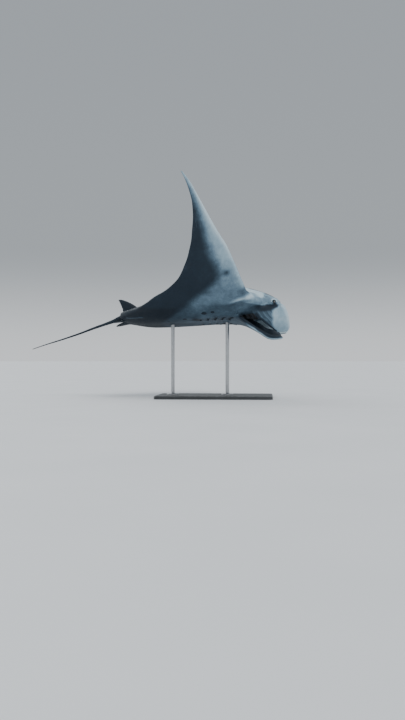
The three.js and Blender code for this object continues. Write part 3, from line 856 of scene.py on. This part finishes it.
# back
shoulder = np.minimum(np.minimum(af - (250 + 0.10 * g), (690 - 0.42 * g) - af), np.minimum((g - 96) * 1.2, 800 - g))
top = 0.07 + 0.66 * smooth(shoulder, -14, 52) * (1 - 0.55 * smooth(af, 380, 640))
# a painted highlight along the wing's front edge, on the upper side
top = top + 0.12 * bump(af - leading(g), 22) * smooth(g, 600, 700)
top = top + 0.45 * smooth(g, 1845, 1925)
top = top + 0.05 * smooth(c, 0.55, 0.95) * (1 - inner)
# the sides of the crown, where they face up, are painted pale as a highlight, and run back into the shoulder patch
crown_highlight = smooth(g, 235, 300) * smooth(af, 90, 160) * (1 - smooth(af, 340, 440)) * (1 - smooth(g, 430, 540)) * smooth(N[:, 2], 0.30, 0.62)
top = mix(top, 0.98, crown_highlight)

# underside
edge_c = curve((0, 0.74), (300, 0.74), (454, 0.69), (517, 0.63), (651, 0.53), (722, 0.47), (797, 0.385), (888, 0.315), (971, 0.365), (1173, 0.49), (1366, 0.485), (1544, 0.63), (1750, 0.80), (1975, 0.97))
d = (c - edge_c(g)) * (trailing(g) - leading(g))
# the underside's tone along the span: painted shade keeps it mid-grey at the root and belly, rising to pale towards the
# tip
pale = curve((0, 0.40), (400, 0.40), (500, 0.39), (560, 0.47), (700, 0.54), (900, 0.64), (1150, 0.78), (1975, 0.98))(g)
low = mix(pale, 0.09, smooth(d, -100, 75))
low = low - 0.40 * bump(np.hypot(g - 884, af - 511), 30)
# a painted highlight along the wing's rounded front edge, underneath
low = low + 0.22 * bump(af - leading(g), 36) * smooth(g, 640, 720)
# painted shade over the rear of the belly
low = low - 0.22 * smooth(af, 700, 1250) * inner
# painted shade below the fold at the wing's root
below_fold_shade = (1 - smooth(g, 500, 545)) * smooth(af, 150, 300)
low = low - 0.08 * below_fold_shade * (1 - smooth(af, 650, 900))
# a painted highlight along the ridge of the skin fold where the raised wing leaves the flank
fold_d, fold_u = path(g, af, FOLD)
low = low + 0.50 * bump(fold_d, 15) * (1 - smooth(fold_u, 0.35, 0.95))
# a painted highlight along the ridge of the pelvic fold
pel_d, pel_u = path(g, af, PELVIC_FOLD)
low = low + 0.40 * bump(pel_d, 13) * (1 - smooth(pel_u, 0.75, 1.0))
# painted shade in each gill slit and beside it
for ga, half, mid, turn in GILLS:
    p = (ay - mid) * math.cos(turn) + (aa - ga) * math.sin(turn)
    q = -(ay - mid) * math.sin(turn) + (aa - ga) * math.cos(turn) + 0.0016 * p**2 - 6
    reach = (1 - smooth(np.abs(p), half - 30, half + 8)) * smooth(-zz, 20, 60)
    low = low - (0.40 * bump(q, 9) + 0.12 * bump(q - 20, 24)) * reach
# the charcoal flare behind the last slit
low = low - 0.30 * bump(np.hypot((ay - 250) / 1.6, aa - 905), 44) * smooth(-zz, 20, 60)
shade = mix(top, low, under)

# where the wing's front edge runs into the head: a painted highlight on the lit edge, and painted shade in the hollow
# outboard of it
near_edge = smooth(90 - np.abs(ww), 0, 30)
root_d, root_u = path(g, af, [(556, 318), (548, 272), (490, 222), (410, 178), (360, 140)])
hollow_d, hollow_u = path(g, af, [(650, 378), (618, 348), (592, 330), (576, 322)])
shade = mix(shade, 0.30, 0.34 * bump(hollow_d, 34) * smooth(10 - ww, 0, 12) * near_edge)
shade = mix(shade, 1.0, 0.9 * bump(root_d, 26) * near_edge)

# sides of the head and jaw
side = smooth(ay, 296, 340) * (1 - smooth(g, 500, 560)) * (1 - smooth(aa, 380, 470))
line_z = curve((0, -40), (60, -38), (144, -29), (229, -32), (313, -22), (378, -8), (470, 20))(aa)
side_pale = side * smooth(zz, line_z - 9, line_z + 9) * (1 - under * smooth(g, 500, 550))
head_tone = curve((-30, 0.80), (0, 0.74), (60, 0.66), (120, 0.64), (190, 0.62), (300, 0.60), (470, 0.56))(aa) + 0.05 * np.sin(aa / 29.0 + 0.7) * np.sin(zz / 19.0)
shade = mix(shade, head_tone, side_pale * (1 - smooth(N[:, 2], 0.8, 0.97) * (1 - smooth(ay, 240, 300))) * (1 - 0.9 * crown_highlight * (1 - under)))
# painted shade on the cheek, below the pale side line and behind the mouth
cheek_shade = side * (1 - smooth(zz, line_z - 12, line_z + 6)) * smooth(aa, 130, 230)
shade = mix(shade, 0.37, cheek_shade * 0.9)
# face: the front of the upper jaw is dark
face = (1 - smooth(aa, -8, 26)) * (1 - smooth(ay, 250, 320)) * smooth(zz, -90, -50)
shade = mix(shade, 0.10, face * 0.9)
# lower jaw from outside: a dark lip over a thin pale rim
m_field = block_field(ay, aa, zz, mouth_width, mouth_roof, mouth_floor, 3.4, 3.0)
jaw_zone = (1 - smooth(aa, 400, 470)) * smooth(-zz, 105, 140)
shade = mix(shade, 0.36, jaw_zone * 0.9)
rim_z = curve((-30, -364), (20, -368), (62, -365), (106, -357), (146, -336), (187, -301), (229, -271), (270, -240), (312, -217), (360, -188), (430, -150))(aa)
over = (zz - rim_z) * 0.82
shade = mix(shade, 0.07, jaw_zone * smooth(over, 5, 13) * (1 - smooth(aa, 420, 470)))
rim = bump(over, 8.5) * smooth(ay, 130, 260) * (1 - smooth(aa, 290, 370)) + bump(over - 2, 8) * (1 - smooth(ay, 130, 260)) * (1 - smooth(aa, 0, 30))
shade = mix(shade, 1.0, 0.92 * np.clip(rim, 0, 1) * jaw_zone)
# round the corner of the mouth
shade = mix(shade, 0.05, np.clip(1.25 * bump(np.hypot((aa - 366) / 1.5, (zz + 138) / 1.0), 34), 0, 1) * smooth(ay, 240, 300))
# inside of the mouth: painted shade, near black, a little paler on the floor and over the gill arches
inside = np.where((m_field < 14) & (aa > -40) & (aa < 600) & (ay < 316), 1 - smooth(m_field, 3, 12), 0)
floor_pale = smooth(-zz, 150, 220) * (1 - smooth(aa, 120, 300)) * (1 - smooth(ay, 200, 260))
arches = 0.5 + 0.5 * np.cos(2 * np.pi * (aa + 0.00035 * ay**2 - 20) / 56.0)
shade = mix(shade, 0.04 + 0.10 * floor_pale + 0.12 * arches * smooth(aa, 230, 320), inside)

# lobes
near_lobe = (ay > 120) & (ay < 440) & (aa > -140) & (aa < 330) & (zz < 30)
lobe_f, (lobe_u, lobe_v) = sheet_field(LOBE, ay, aa, np.where(near_lobe, zz, 9999.0), want_place=True)
on_lobe = np.where(near_lobe & (lobe_v > 0.02), 1 - smooth(lobe_f, 9, 22), 0) * smooth(lobe_v, 0.06, 0.18)
lobe_v = np.maximum(lobe_v, 0)
outer = smooth(N[:, 0] * np.where(yy < 0, -1, 1), -0.25, 0.25)
# the outer face: a painted highlight in front, painted shade behind, the darkest painted shade on the rear rim, with
# faint streaks along it
lit_front_part = 1 - smooth(aa + 0.06 * (zz + 180) + 6 * np.sin(zz / 17.0), 38, 84)
streak = 0.06 * np.sin((aa * 0.80 - zz * 0.60) / 7.0) + 0.04 * np.sin((aa * 0.80 - zz * 0.60) / 3.1 + zz / 40.0)
outer_light_and_shade = mix(0.32 + streak, 0.80 + 0.05 * np.sin(zz / 37.0 + 0.6), lit_front_part)
# a painted highlight along the lobe's front edge
outer_light_and_shade = outer_light_and_shade + 0.16 * smooth(lobe_u, 0.86, 0.97)
# painted shade on the lobe's rear rim
outer_light_and_shade = mix(outer_light_and_shade, 0.07, (1 - smooth(lobe_u, 0.05, 0.14)) * (1 - smooth(lobe_v, 0.93, 1.0)))
inner_tone = 1.0 - 0.12 * (1 - smooth(lobe_v, 0.1, 0.3))
lobe_tone = mix(inner_tone, outer_light_and_shade, outer)
shade = mix(shade, lobe_tone, on_lobe)
# the dark band under the eye, over the lobe's root
ragged = 1.8 * np.sin(aa / 21.0 + zz / 31.0) + 1.5 * np.sin(zz / 9.0 - aa / 23.0) + 1.0 * np.sin(aa / 6.5)
band_d, band_u = path(aa, zz, [(14, -50), (62, -62), (130, -67), (212, -66), (300, -78)])
band_w = curve((0, 16), (0.25, 27), (0.5, 31), (0.75, 27), (1, 14))(band_u)
band = smooth(ay, 296, 340) * (1 - smooth(g, 500, 560)) * (1 - smooth(band_d + ragged, band_w - 12, band_w + 13)) * (1 - 0.75 * smooth(band_u, 0.55, 1.0))
shade = mix(shade, 0.05, band * 0.94)
link_d, link_u = path(aa, zz, [(22, -48), (34, -22)])
shade = mix(shade, 0.08, smooth(ay, 340, 366) * (1 - smooth(link_d + 0.4 * ragged, 7, 20)) * 0.85)
# round the eye: a painted highlight on the upper lids before and behind it, painted shade below it, and dark in the
# opening
ball_d = np.sqrt((aa - EYE_A) ** 2 + (zz - EYE_Z) ** 2)
out_eye = smooth(ay, 350, 376)
shade = mix(shade, 1.0, out_eye * bump(ball_d - 29, 8) * 0.8 * smooth(zz, -20, -4))
shade = mix(shade, 0.06, out_eye * bump(np.hypot((aa - EYE_A + 4) / 1.6, zz - EYE_Z + 24), 13) * 0.8)
shade = mix(shade, 0.04, out_eye * (1 - smooth(ball_d, 15, 21)))

# fins and tail
shade = mix(shade, 0.06, smooth(aa, 1770, 1860) * (1 - smooth(ay, 60, 80)))
shade = mix(shade, 0.05, (aa > 1535) * (ay < 30) * smooth(zz, 60, 110))
shade = np.clip(shade, 0, 1)

spots = smooth(under, 0.4, 0.8) * (1 - smooth(ay, 250, 380)) * smooth(aa, 900, 1000) * (1 - smooth(aa, 1380, 1500))


def put(name, values, kind="FLOAT"):
    at = skin_mesh.attributes.new(name, kind, "POINT")
    key = "vector" if kind == "FLOAT_VECTOR" else "value"
    at.data.foreach_set(key, np.ascontiguousarray(values, np.float32).ravel())


# the open jaw hangs level while the body banks, as in part.mjs; the right lobe keeps its own line
drop = 0.125 * yy * smooth(-zz, 50, 290) * (1 - smooth(aa, 330, 560))
drop = drop * (1 - np.where(yy < 0, on_lobe, 0) * smooth(-zz, 130, 190))
skin_mesh.vertices.foreach_set("co", world(np.stack([yy, aa, zz + drop], -1)).astype(np.float32).ravel())
skin_mesh.update()

put("flat", np.stack([FLAT[:, 0], FLAT[:, 1], FLAT[:, 2]], -1) / 1000, "FLOAT_VECTOR")
put("shade", shade)
put("spots", spots)
put("under", under)
put("inside", np.clip(inside, 0, 1))

# --------------------------------------------------------------- materials


class Nodes:
    """A short way to write node trees."""

    def __init__(self, name):
        self.mat = bpy.data.materials.new(name)
        self.mat.use_nodes = True
        self.tree = self.mat.node_tree
        self.tree.nodes.clear()
        self.out = self.tree.nodes.new("ShaderNodeOutputMaterial")
        self.bsdf = self.tree.nodes.new("ShaderNodeBsdfPrincipled")
        self.tree.links.new(self.bsdf.outputs[0], self.out.inputs["Surface"])

    def link(self, value, socket):
        if isinstance(value, bpy.types.NodeSocket):
            self.tree.links.new(value, socket)
        elif value is not None:
            socket.default_value = value

    def node(self, kind, **sets):
        n = self.tree.nodes.new(kind)
        for k, v in sets.items():
            setattr(n, k, v)
        return n

    def attr(self, name, out="Fac"):
        return self.node("ShaderNodeAttribute", attribute_name=name).outputs[out]

    def coords(self, which="Object"):
        return self.node("ShaderNodeTexCoord").outputs[which]

    def mapped(self, vec, scale=(1, 1, 1), loc=(0, 0, 0), rot=(0, 0, 0)):
        n = self.node("ShaderNodeMapping")
        self.link(vec, n.inputs["Vector"])
        n.inputs["Scale"].default_value = scale
        n.inputs["Location"].default_value = loc
        n.inputs["Rotation"].default_value = rot
        return n.outputs[0]

    def noise(self, vec, scale, detail=3.0, rough=0.55, distort=0.0):
        n = self.node("ShaderNodeTexNoise")
        self.link(vec, n.inputs["Vector"])
        n.inputs["Scale"].default_value = scale
        n.inputs["Detail"].default_value = detail
        n.inputs["Roughness"].default_value = rough
        n.inputs["Distortion"].default_value = distort
        return n.outputs["Fac"]

    def voronoi(self, vec, scale, feature="F1", random=1.0):
        n = self.node("ShaderNodeTexVoronoi", feature=feature)
        self.link(vec, n.inputs["Vector"])
        n.inputs["Scale"].default_value = scale
        n.inputs["Randomness"].default_value = random
        return n

    def math(self, op, a, b=None, c=None, clamp=False):
        n = self.node("ShaderNodeMath", operation=op, use_clamp=clamp)
        for v, s in zip((a, b, c), n.inputs):
            if v is not None:
                self.link(v, s)
        return n.outputs[0]

    def ramp(self, fac, stops, mode="LINEAR"):
        n = self.node("ShaderNodeValToRGB")
        n.color_ramp.interpolation = mode
        el = n.color_ramp.elements
        while len(el) < len(stops):
            el.new(0.5)
        for e, (p, col) in zip(el, stops):
            e.position = p
            e.color = col if len(col) == 4 else (*col, 1)
        self.link(fac, n.inputs[0])
        return n.outputs[0]

    def fit(self, v, a, b, lo=0.0, hi=1.0, smoothed=True):
        n = self.node("ShaderNodeMapRange", interpolation_type="SMOOTHSTEP" if smoothed else "LINEAR", clamp=True)
        self.link(v, n.inputs["Value"])
        for k, val in zip(("From Min", "From Max", "To Min", "To Max"), (a, b, lo, hi)):
            n.inputs[k].default_value = val
        return n.outputs[0]

    def blend(self, fac, a, b, mode="MIX"):
        n = self.node("ShaderNodeMix", data_type="RGBA", blend_type=mode)
        self.link(fac, n.inputs[0])
        for v, s in ((a, n.inputs[6]), (b, n.inputs[7])):
            if isinstance(v, tuple):
                v = (*v, 1) if len(v) == 3 else v
            self.link(v, s)
        return n.outputs[2]

    def bump(self, height, strength, distance, normal=None):
        n = self.node("ShaderNodeBump")
        n.inputs["Strength"].default_value = strength
        n.inputs["Distance"].default_value = distance
        self.link(height, n.inputs["Height"])
        if normal is not None:
            self.link(normal, n.inputs["Normal"])
        return n.outputs[0]


def skin_material():
    m = Nodes("manta_skin")
    flat = m.attr("flat", "Vector")
    obj = m.coords()
    shade_in = m.attr("shade")
    n_big = m.noise(obj, 6.5, 5, 0.6, 0.4)
    n_mid = m.noise(obj, 26, 5, 0.62)
    n_fine = m.noise(obj, 120, 3, 0.6)
    wob = m.math("ADD", m.math("MULTIPLY", m.math("SUBTRACT", n_big, 0.5), 0.42), m.math("MULTIPLY", m.math("SUBTRACT", n_mid, 0.5), 0.26))
    wob = m.math("ADD", wob, m.math("MULTIPLY", m.math("SUBTRACT", n_fine, 0.5), 0.18))
    gate = m.math("MULTIPLY", m.math("MULTIPLY", shade_in, m.math("SUBTRACT", 1.0, shade_in)), 4.0)
    t = m.math("ADD", shade_in, m.math("MULTIPLY", wob, gate))
    # spots of the belly
    v = m.voronoi(m.mapped(flat, (1, 1, 0)), 8.0)
    sep = m.node("ShaderNodeSeparateColor")
    m.link(v.outputs["Color"], sep.inputs[0])
    size = m.math("MULTIPLY_ADD", sep.outputs[0], 0.16, 0.03)
    ragged = m.math("MULTIPLY", m.math("SUBTRACT", n_mid, 0.5), 0.12)
    gap = m.math("SUBTRACT", m.math("ADD", v.outputs["Distance"], ragged), size)
    spot = m.math("SUBTRACT", 1.0, m.fit(gap, -0.02, 0.035))
    keep = m.math("GREATER_THAN", sep.outputs[1], 0.38)
    spot = m.math("MULTIPLY", m.math("MULTIPLY", spot, keep), m.attr("spots"))
    # two spots that stand out beside the gills, on the right
    for px, py, r in ((-0.407, 0.797, 0.026), (-0.422, 0.702, 0.019), (0.388, 0.764, 0.022), (-0.300, 1.02, 0.024)):
        dist = m.node("ShaderNodeVectorMath", operation="DISTANCE")
        m.link(m.mapped(flat, (1, 1, 0)), dist.inputs[0])
        dist.inputs[1].default_value = (px, py, 0)
        one = m.fit(m.math("ADD", dist.outputs["Value"], m.math("MULTIPLY", m.math("SUBTRACT", n_mid, 0.5), 0.016)), r - 0.004, r + 0.005, 1.0, 0.0)
        spot = m.math("MAXIMUM", spot, m.math("MULTIPLY", one, m.attr("under")))
    t = m.math("MULTIPLY", t, m.math("MULTIPLY_ADD", spot, -0.82, 1.0))
    # mottling and pale scratches
    t = m.math("ADD", t, m.math("MULTIPLY", m.math("SUBTRACT", m.noise(obj, 3.1, 4, 0.6), 0.5), 0.16))
    streaks = m.noise(m.mapped(flat, (2.6, 70, 20), rot=(0, 0, 0.16)), 1.0, 2, 0.5)
    scratch = m.math("MULTIPLY", m.fit(streaks, 0.71, 0.76), m.fit(m.noise(obj, 2.2, 2), 0.52, 0.62))
    t = m.math("ADD", t, m.math("MULTIPLY", scratch, 0.16))
    fleck = m.fit(m.noise(obj, 260, 2, 0.5), 0.66, 0.74)
    t = m.math("ADD", t, m.math("MULTIPLY", fleck, 0.05))
    t = m.math("ADD", t, 0.0, clamp=True)
    col = m.ramp(t, [(0.0, (0.010, 0.017, 0.026)), (0.12, (0.018, 0.030, 0.045)), (0.32, (0.052, 0.085, 0.118)), (0.55, (0.140, 0.215, 0.285)), (0.78, (0.300, 0.420, 0.505)), (1.0, (0.520, 0.640, 0.705))])
    # a faint change of hue, warmer in the palest parts
    col = m.blend(m.fit(n_big, 0.35, 0.75, 0.0, 0.16), col, m.blend(1.0, col, (0.92, 0.96, 0.90), "MULTIPLY"))
    col = m.blend(m.math("MULTIPLY", m.attr("inside"), 0.5), col, m.blend(1.0, col, (0.92, 0.90, 0.94), "MULTIPLY"))
    m.link(col, m.bsdf.inputs["Base Color"])
    rough = m.math("ADD", m.fit(n_mid, 0.3, 0.7, 0.44, 0.58, False), m.math("MULTIPLY", m.attr("under"), 0.22))
    m.link(rough, m.bsdf.inputs["Roughness"])
    m.bsdf.inputs["Specular IOR Level"].default_value = 0.22
    # grain of the skin, shallow dents, and the long muscles' texture
    ribs = m.noise(m.mapped(flat, (7, 60, 20)), 1.0, 3, 0.5)
    h1 = m.bump(n_mid, 0.22, 0.010)
    h2 = m.bump(ribs, 0.20, 0.006, h1)
    h3 = m.bump(m.noise(obj, 420, 3, 0.6), 0.25, 0.0012, h2)
    m.link(h3, m.bsdf.inputs["Normal"])
    return m.mat


skin_mesh.materials.append(skin_material())
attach(skin, "root")
FLESH = [n for n in frame["nodes"] if not n.startswith(("stand_", "eye_"))]
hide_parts(*FLESH)

# --------------------------------------------------------------------- eyes


def eye_mesh(name, side):
    """A ball with a raised cornea. It looks out, a little forward and down."""
    nu, nv = 96, 56
    look = np.array([1.0, -0.18, -0.10])
    look /= np.linalg.norm(look)
    e1 = np.cross([0, 0, 1.0], look)
    e1 /= np.linalg.norm(e1)
    e2 = np.cross(look, e1)
    pts, plane = [], []
    for i in range(nv + 1):
        th = math.pi * (i / nv) ** 1.25 if i < nv else math.pi
        r = EYE_R * (1 + 0.045 * math.exp(-((th / 0.50) ** 2)) - 0.012 * math.exp(-(((th - 0.72) / 0.12) ** 2)))
        n = 1 if i in (0, nv) else nu
        for j in range(n):
            ph = 2 * math.pi * j / nu
            dirn = look * math.cos(th) + (e1 * math.cos(ph) + e2 * math.sin(ph)) * math.sin(th)
            pts.append(np.array([EYE_Y, EYE_A, EYE_Z]) + dirn * r - look * 1.0)
            q = th * EYE_R
            plane.append((q * math.cos(ph) / 1000, q * math.sin(ph) / 1000, 0))
    fcs = []
    start = [0] + [1 + k * nu for k in range(nv - 1)] + [1 + (nv - 1) * nu]
    for j in range(nu):
        k = (j + 1) % nu
        fcs.append((0, 1 + j, 1 + k))
        for i in range(1, nv - 1):
            fcs.append((start[i] + j, start[i + 1] + j, start[i + 1] + k, start[i] + k))
        fcs.append((start[nv - 1] + k, start[nv - 1] + j, start[nv]))
    p = np.array(pts)
    p[:, 0] *= side
    if side < 0:
        fcs = [f[::-1] for f in fcs]
    me = bpy.data.meshes.new(name)
    me.from_pydata(world(p).tolist(), [], fcs)
    me.update()
    # outward faces
    ctr = world(np.array([EYE_Y * side, EYE_A, EYE_Z], float))
    f0 = me.polygons[len(me.polygons) // 2]
    if (f0.center - Vector(ctr.tolist())).dot(f0.normal) < 0:
        me.flip_normals()
    me.polygons.foreach_set("use_smooth", [True] * len(me.polygons))
    at = me.attributes.new("iris", "FLOAT_VECTOR", "POINT")
    at.data.foreach_set("vector", np.array(plane, np.float32).ravel())
    return me


def eye_material():
    m = Nodes("manta_eye")
    pos = m.attr("iris", "Vector")
    xyz = m.node("ShaderNodeSeparateXYZ")
    m.link(pos, xyz.inputs[0])
    u, v = xyz.outputs[0], xyz.outputs[1]
    r = m.math("SQRT", m.math("ADD", m.math("MULTIPLY", u, u), m.math("MULTIPLY", v, v)))
    nz = m.noise(pos, 260, 4, 0.6)
    # a wide pupil with the lid-shaped flap that hangs into it
    pu = m.math("DIVIDE", u, 0.0092)
    pv = m.math("DIVIDE", v, 0.0062)
    pup = m.math("SQRT", m.math("ADD", m.math("MULTIPLY", pu, pu), m.math("MULTIPLY", pv, pv)))
    fu = m.math("DIVIDE", u, 0.0066)
    fv = m.math("DIVIDE", m.math("SUBTRACT", v, 0.0052), 0.0050)
    flap = m.math("SQRT", m.math("ADD", m.math("MULTIPLY", fu, fu), m.math("MULTIPLY", fv, fv)))
    pupil = m.math("MULTIPLY", m.fit(pup, 0.95, 1.06, 1.0, 0.0), m.fit(flap, 0.92, 1.08))
    ang = m.math("ARCTAN2", v, u)
    rad = m.node("ShaderNodeCombineXYZ")
    m.link(m.math("MULTIPLY", ang, 7.0), rad.inputs[0])
    m.link(m.math("MULTIPLY", r, 90.0), rad.inputs[1])
    fibres = m.noise(rad.outputs[0], 1.6, 4, 0.6)
    iris_c = m.ramp(fibres, [(0.25, (0.020, 0.022, 0.024)), (0.55, (0.060, 0.064, 0.062)), (0.8, (0.150, 0.150, 0.130))])
    rim = m.fit(r, 0.0120, 0.0150)
    sclera = m.ramp(nz, [(0.3, (0.022, 0.030, 0.040)), (0.7, (0.085, 0.105, 0.125))])
    colour = m.blend(rim, iris_c, sclera)
    ring = m.math("MULTIPLY", m.fit(r, 0.0112, 0.0135), m.fit(r, 0.0140, 0.0168, 1.0, 0.0))
    colour = m.blend(ring, colour, (0.008, 0.010, 0.013))
    colour = m.blend(pupil, colour, (0.0015, 0.0018, 0.0022))
    m.link(colour, m.bsdf.inputs["Base Color"])
    m.link(m.fit(nz, 0.3, 0.7, 0.10, 0.20, False), m.bsdf.inputs["Roughness"])
    m.bsdf.inputs["Coat Weight"].default_value = 1.0
    m.bsdf.inputs["Coat Roughness"].default_value = 0.03
    m.link(m.bump(fibres, 0.15, 0.0006), m.bsdf.inputs["Normal"])
    return m.mat


EYE_MAT = eye_material()
for nm, side in (("right", -1), ("left", 1)):
    me = eye_mesh("manta_eye_" + nm, side)
    me.materials.append(EYE_MAT)
    ob = bpy.data.objects.new("manta_eye_" + nm, me)
    scene.collection.objects.link(ob)
    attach(ob, "root")
    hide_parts("eye_" + nm)


# -------------------------------------------------------------------- stand
def base_material():
    m = Nodes("stand_base_paint")
    obj = m.coords()
    peel = m.noise(obj, 190, 3, 0.5)
    cloud = m.noise(obj, 5, 4, 0.6)
    speck = m.fit(m.noise(obj, 900, 2, 0.5), 0.62, 0.75)
    col = m.ramp(cloud, [(0.3, (0.026, 0.029, 0.032)), (0.7, (0.040, 0.044, 0.048))])
    col = m.blend(m.math("MULTIPLY", speck, 0.35), col, (0.085, 0.090, 0.095))
    # rubbed along the bevelled edge
    geo = m.node("ShaderNodeNewGeometry")
    nz = m.node("ShaderNodeSeparateXYZ")
    m.link(geo.outputs["Normal"], nz.inputs[0])
    slant = m.math("MULTIPLY", m.fit(nz.outputs[2], 0.25, 0.5), m.fit(nz.outputs[2], 0.8, 0.97, 1.0, 0.0))
    rub = m.math("MULTIPLY", slant, m.fit(m.noise(obj, 34, 4, 0.65), 0.45, 0.62))
    col = m.blend(m.math("MULTIPLY", rub, 0.6), col, (0.16, 0.165, 0.17))
    dust = m.math("MULTIPLY", m.fit(nz.outputs[2], 0.9, 1.0), m.fit(m.noise(obj, 9, 5, 0.6), 0.42, 0.75, 0.0, 0.16))
    col = m.blend(dust, col, (0.30, 0.31, 0.32))
    m.link(col, m.bsdf.inputs["Base Color"])
    m.link(m.fit(cloud, 0.3, 0.7, 0.36, 0.50, False), m.bsdf.inputs["Roughness"])
    m.link(m.bump(peel, 0.18, 0.0008), m.bsdf.inputs["Normal"])
    return m.mat


def rod_material():
    m = Nodes("stand_rod_steel")
    obj = m.coords()
    brushed = m.noise(m.mapped(obj, (1, 1, 0.02)), 900, 3, 0.6)
    cloud = m.noise(obj, 14, 3, 0.6)
    col = m.ramp(brushed, [(0.25, (0.42, 0.43, 0.44)), (0.75, (0.62, 0.63, 0.64))])
    col = m.blend(m.fit(cloud, 0.5, 0.8, 0.0, 0.35), col, (0.36, 0.36, 0.37))
    m.link(col, m.bsdf.inputs["Base Color"])
    m.bsdf.inputs["Metallic"].default_value = 1.0
    m.link(m.fit(brushed, 0.3, 0.7, 0.24, 0.38, False), m.bsdf.inputs["Roughness"])
    m.link(m.bump(brushed, 0.10, 0.0003), m.bsdf.inputs["Normal"])
    return m.mat


for nm, mat in (("stand_base", base_material()), ("stand_rod_front", rod_material())):
    ob = frame["nodes"][nm]
    for sl in ob.material_slots:
        sl.material = mat
    if nm == "stand_rod_front":
        for sl in frame["nodes"]["stand_rod_rear"].material_slots:
            sl.material = mat

# -------------------------------------------------------------------- stage
R = 260.0
fm = bpy.data.meshes.new("floor")
ring_n = 96
fv = [(0, 0, 0)]
radii = [1.5, 3, 6, 12, 25, 50, 100, R]
for rr_ in radii:
    fv += [(rr_ * math.cos(2 * math.pi * k / ring_n), rr_ * math.sin(2 * math.pi * k / ring_n), 0) for k in range(ring_n)]
ff = [(0, 1 + k, 1 + (k + 1) % ring_n) for k in range(ring_n)]
for q in range(len(radii) - 1):
    for k in range(ring_n):
        b0, b1 = 1 + q * ring_n, 1 + (q + 1) * ring_n
        ff.append((b0 + k, b1 + k, b1 + (k + 1) % ring_n, b0 + (k + 1) % ring_n))
fm.from_pydata(fv, [], ff)
floor = bpy.data.objects.new("floor", fm)
scene.collection.objects.link(floor)
m = Nodes("floor_pale")
fcol = m.ramp(m.noise(m.coords(), 1.3, 3, 0.5), [(0.3, (0.70, 0.725, 0.745)), (0.7, (0.735, 0.755, 0.775))])
m.link(fcol, m.bsdf.inputs["Base Color"])
m.bsdf.inputs["Roughness"].default_value = 0.65
m.bsdf.inputs["Specular IOR Level"].default_value = 0.25
fm.materials.append(m.mat)

world_ = bpy.data.worlds.new("studio")
world_.use_nodes = True
scene.world = world_
wt = world_.node_tree
bg = wt.nodes["Background"]
way = wt.nodes.new("ShaderNodeTexCoord")
part_z = wt.nodes.new("ShaderNodeSeparateXYZ")
wt.links.new(way.outputs["Generated"], part_z.inputs[0])
rise = wt.nodes.new("ShaderNodeValToRGB")
wt.links.new(part_z.outputs[2], rise.inputs[0])
rise.color_ramp.interpolation = "EASE"
stops = rise.color_ramp.elements
stops[0].position, stops[0].color = 0.0, (0.775, 0.803, 0.832, 1)
stops[1].position, stops[1].color = 0.14, (0.400, 0.435, 0.465, 1)
for place, tint in ((0.40, (0.380, 0.415, 0.450, 1)), (0.85, (0.700, 0.740, 0.780, 1))):
    stops.new(place).color = tint
wt.links.new(rise.outputs[0], bg.inputs[0])
bg.inputs[1].default_value = 1.0


def sun(name, loc, strength, degrees, colour=(1, 1, 1)):
    ld = bpy.data.lights.new(name, "SUN")
    ld.energy = strength
    ld.angle = math.radians(degrees)
    ld.color = colour
    o = bpy.data.objects.new(name, ld)
    o.location = loc
    o.rotation_euler = (-Vector(loc)).to_track_quat("-Z", "Y").to_euler()
    scene.collection.objects.link(o)


sun("key", (1.6, -2.2, 3.4), 1.9, 38, (1.0, 0.985, 0.965))
sun("back", (-2.4, 2.6, 2.6), 0.8, 50, (0.96, 0.985, 1.0))
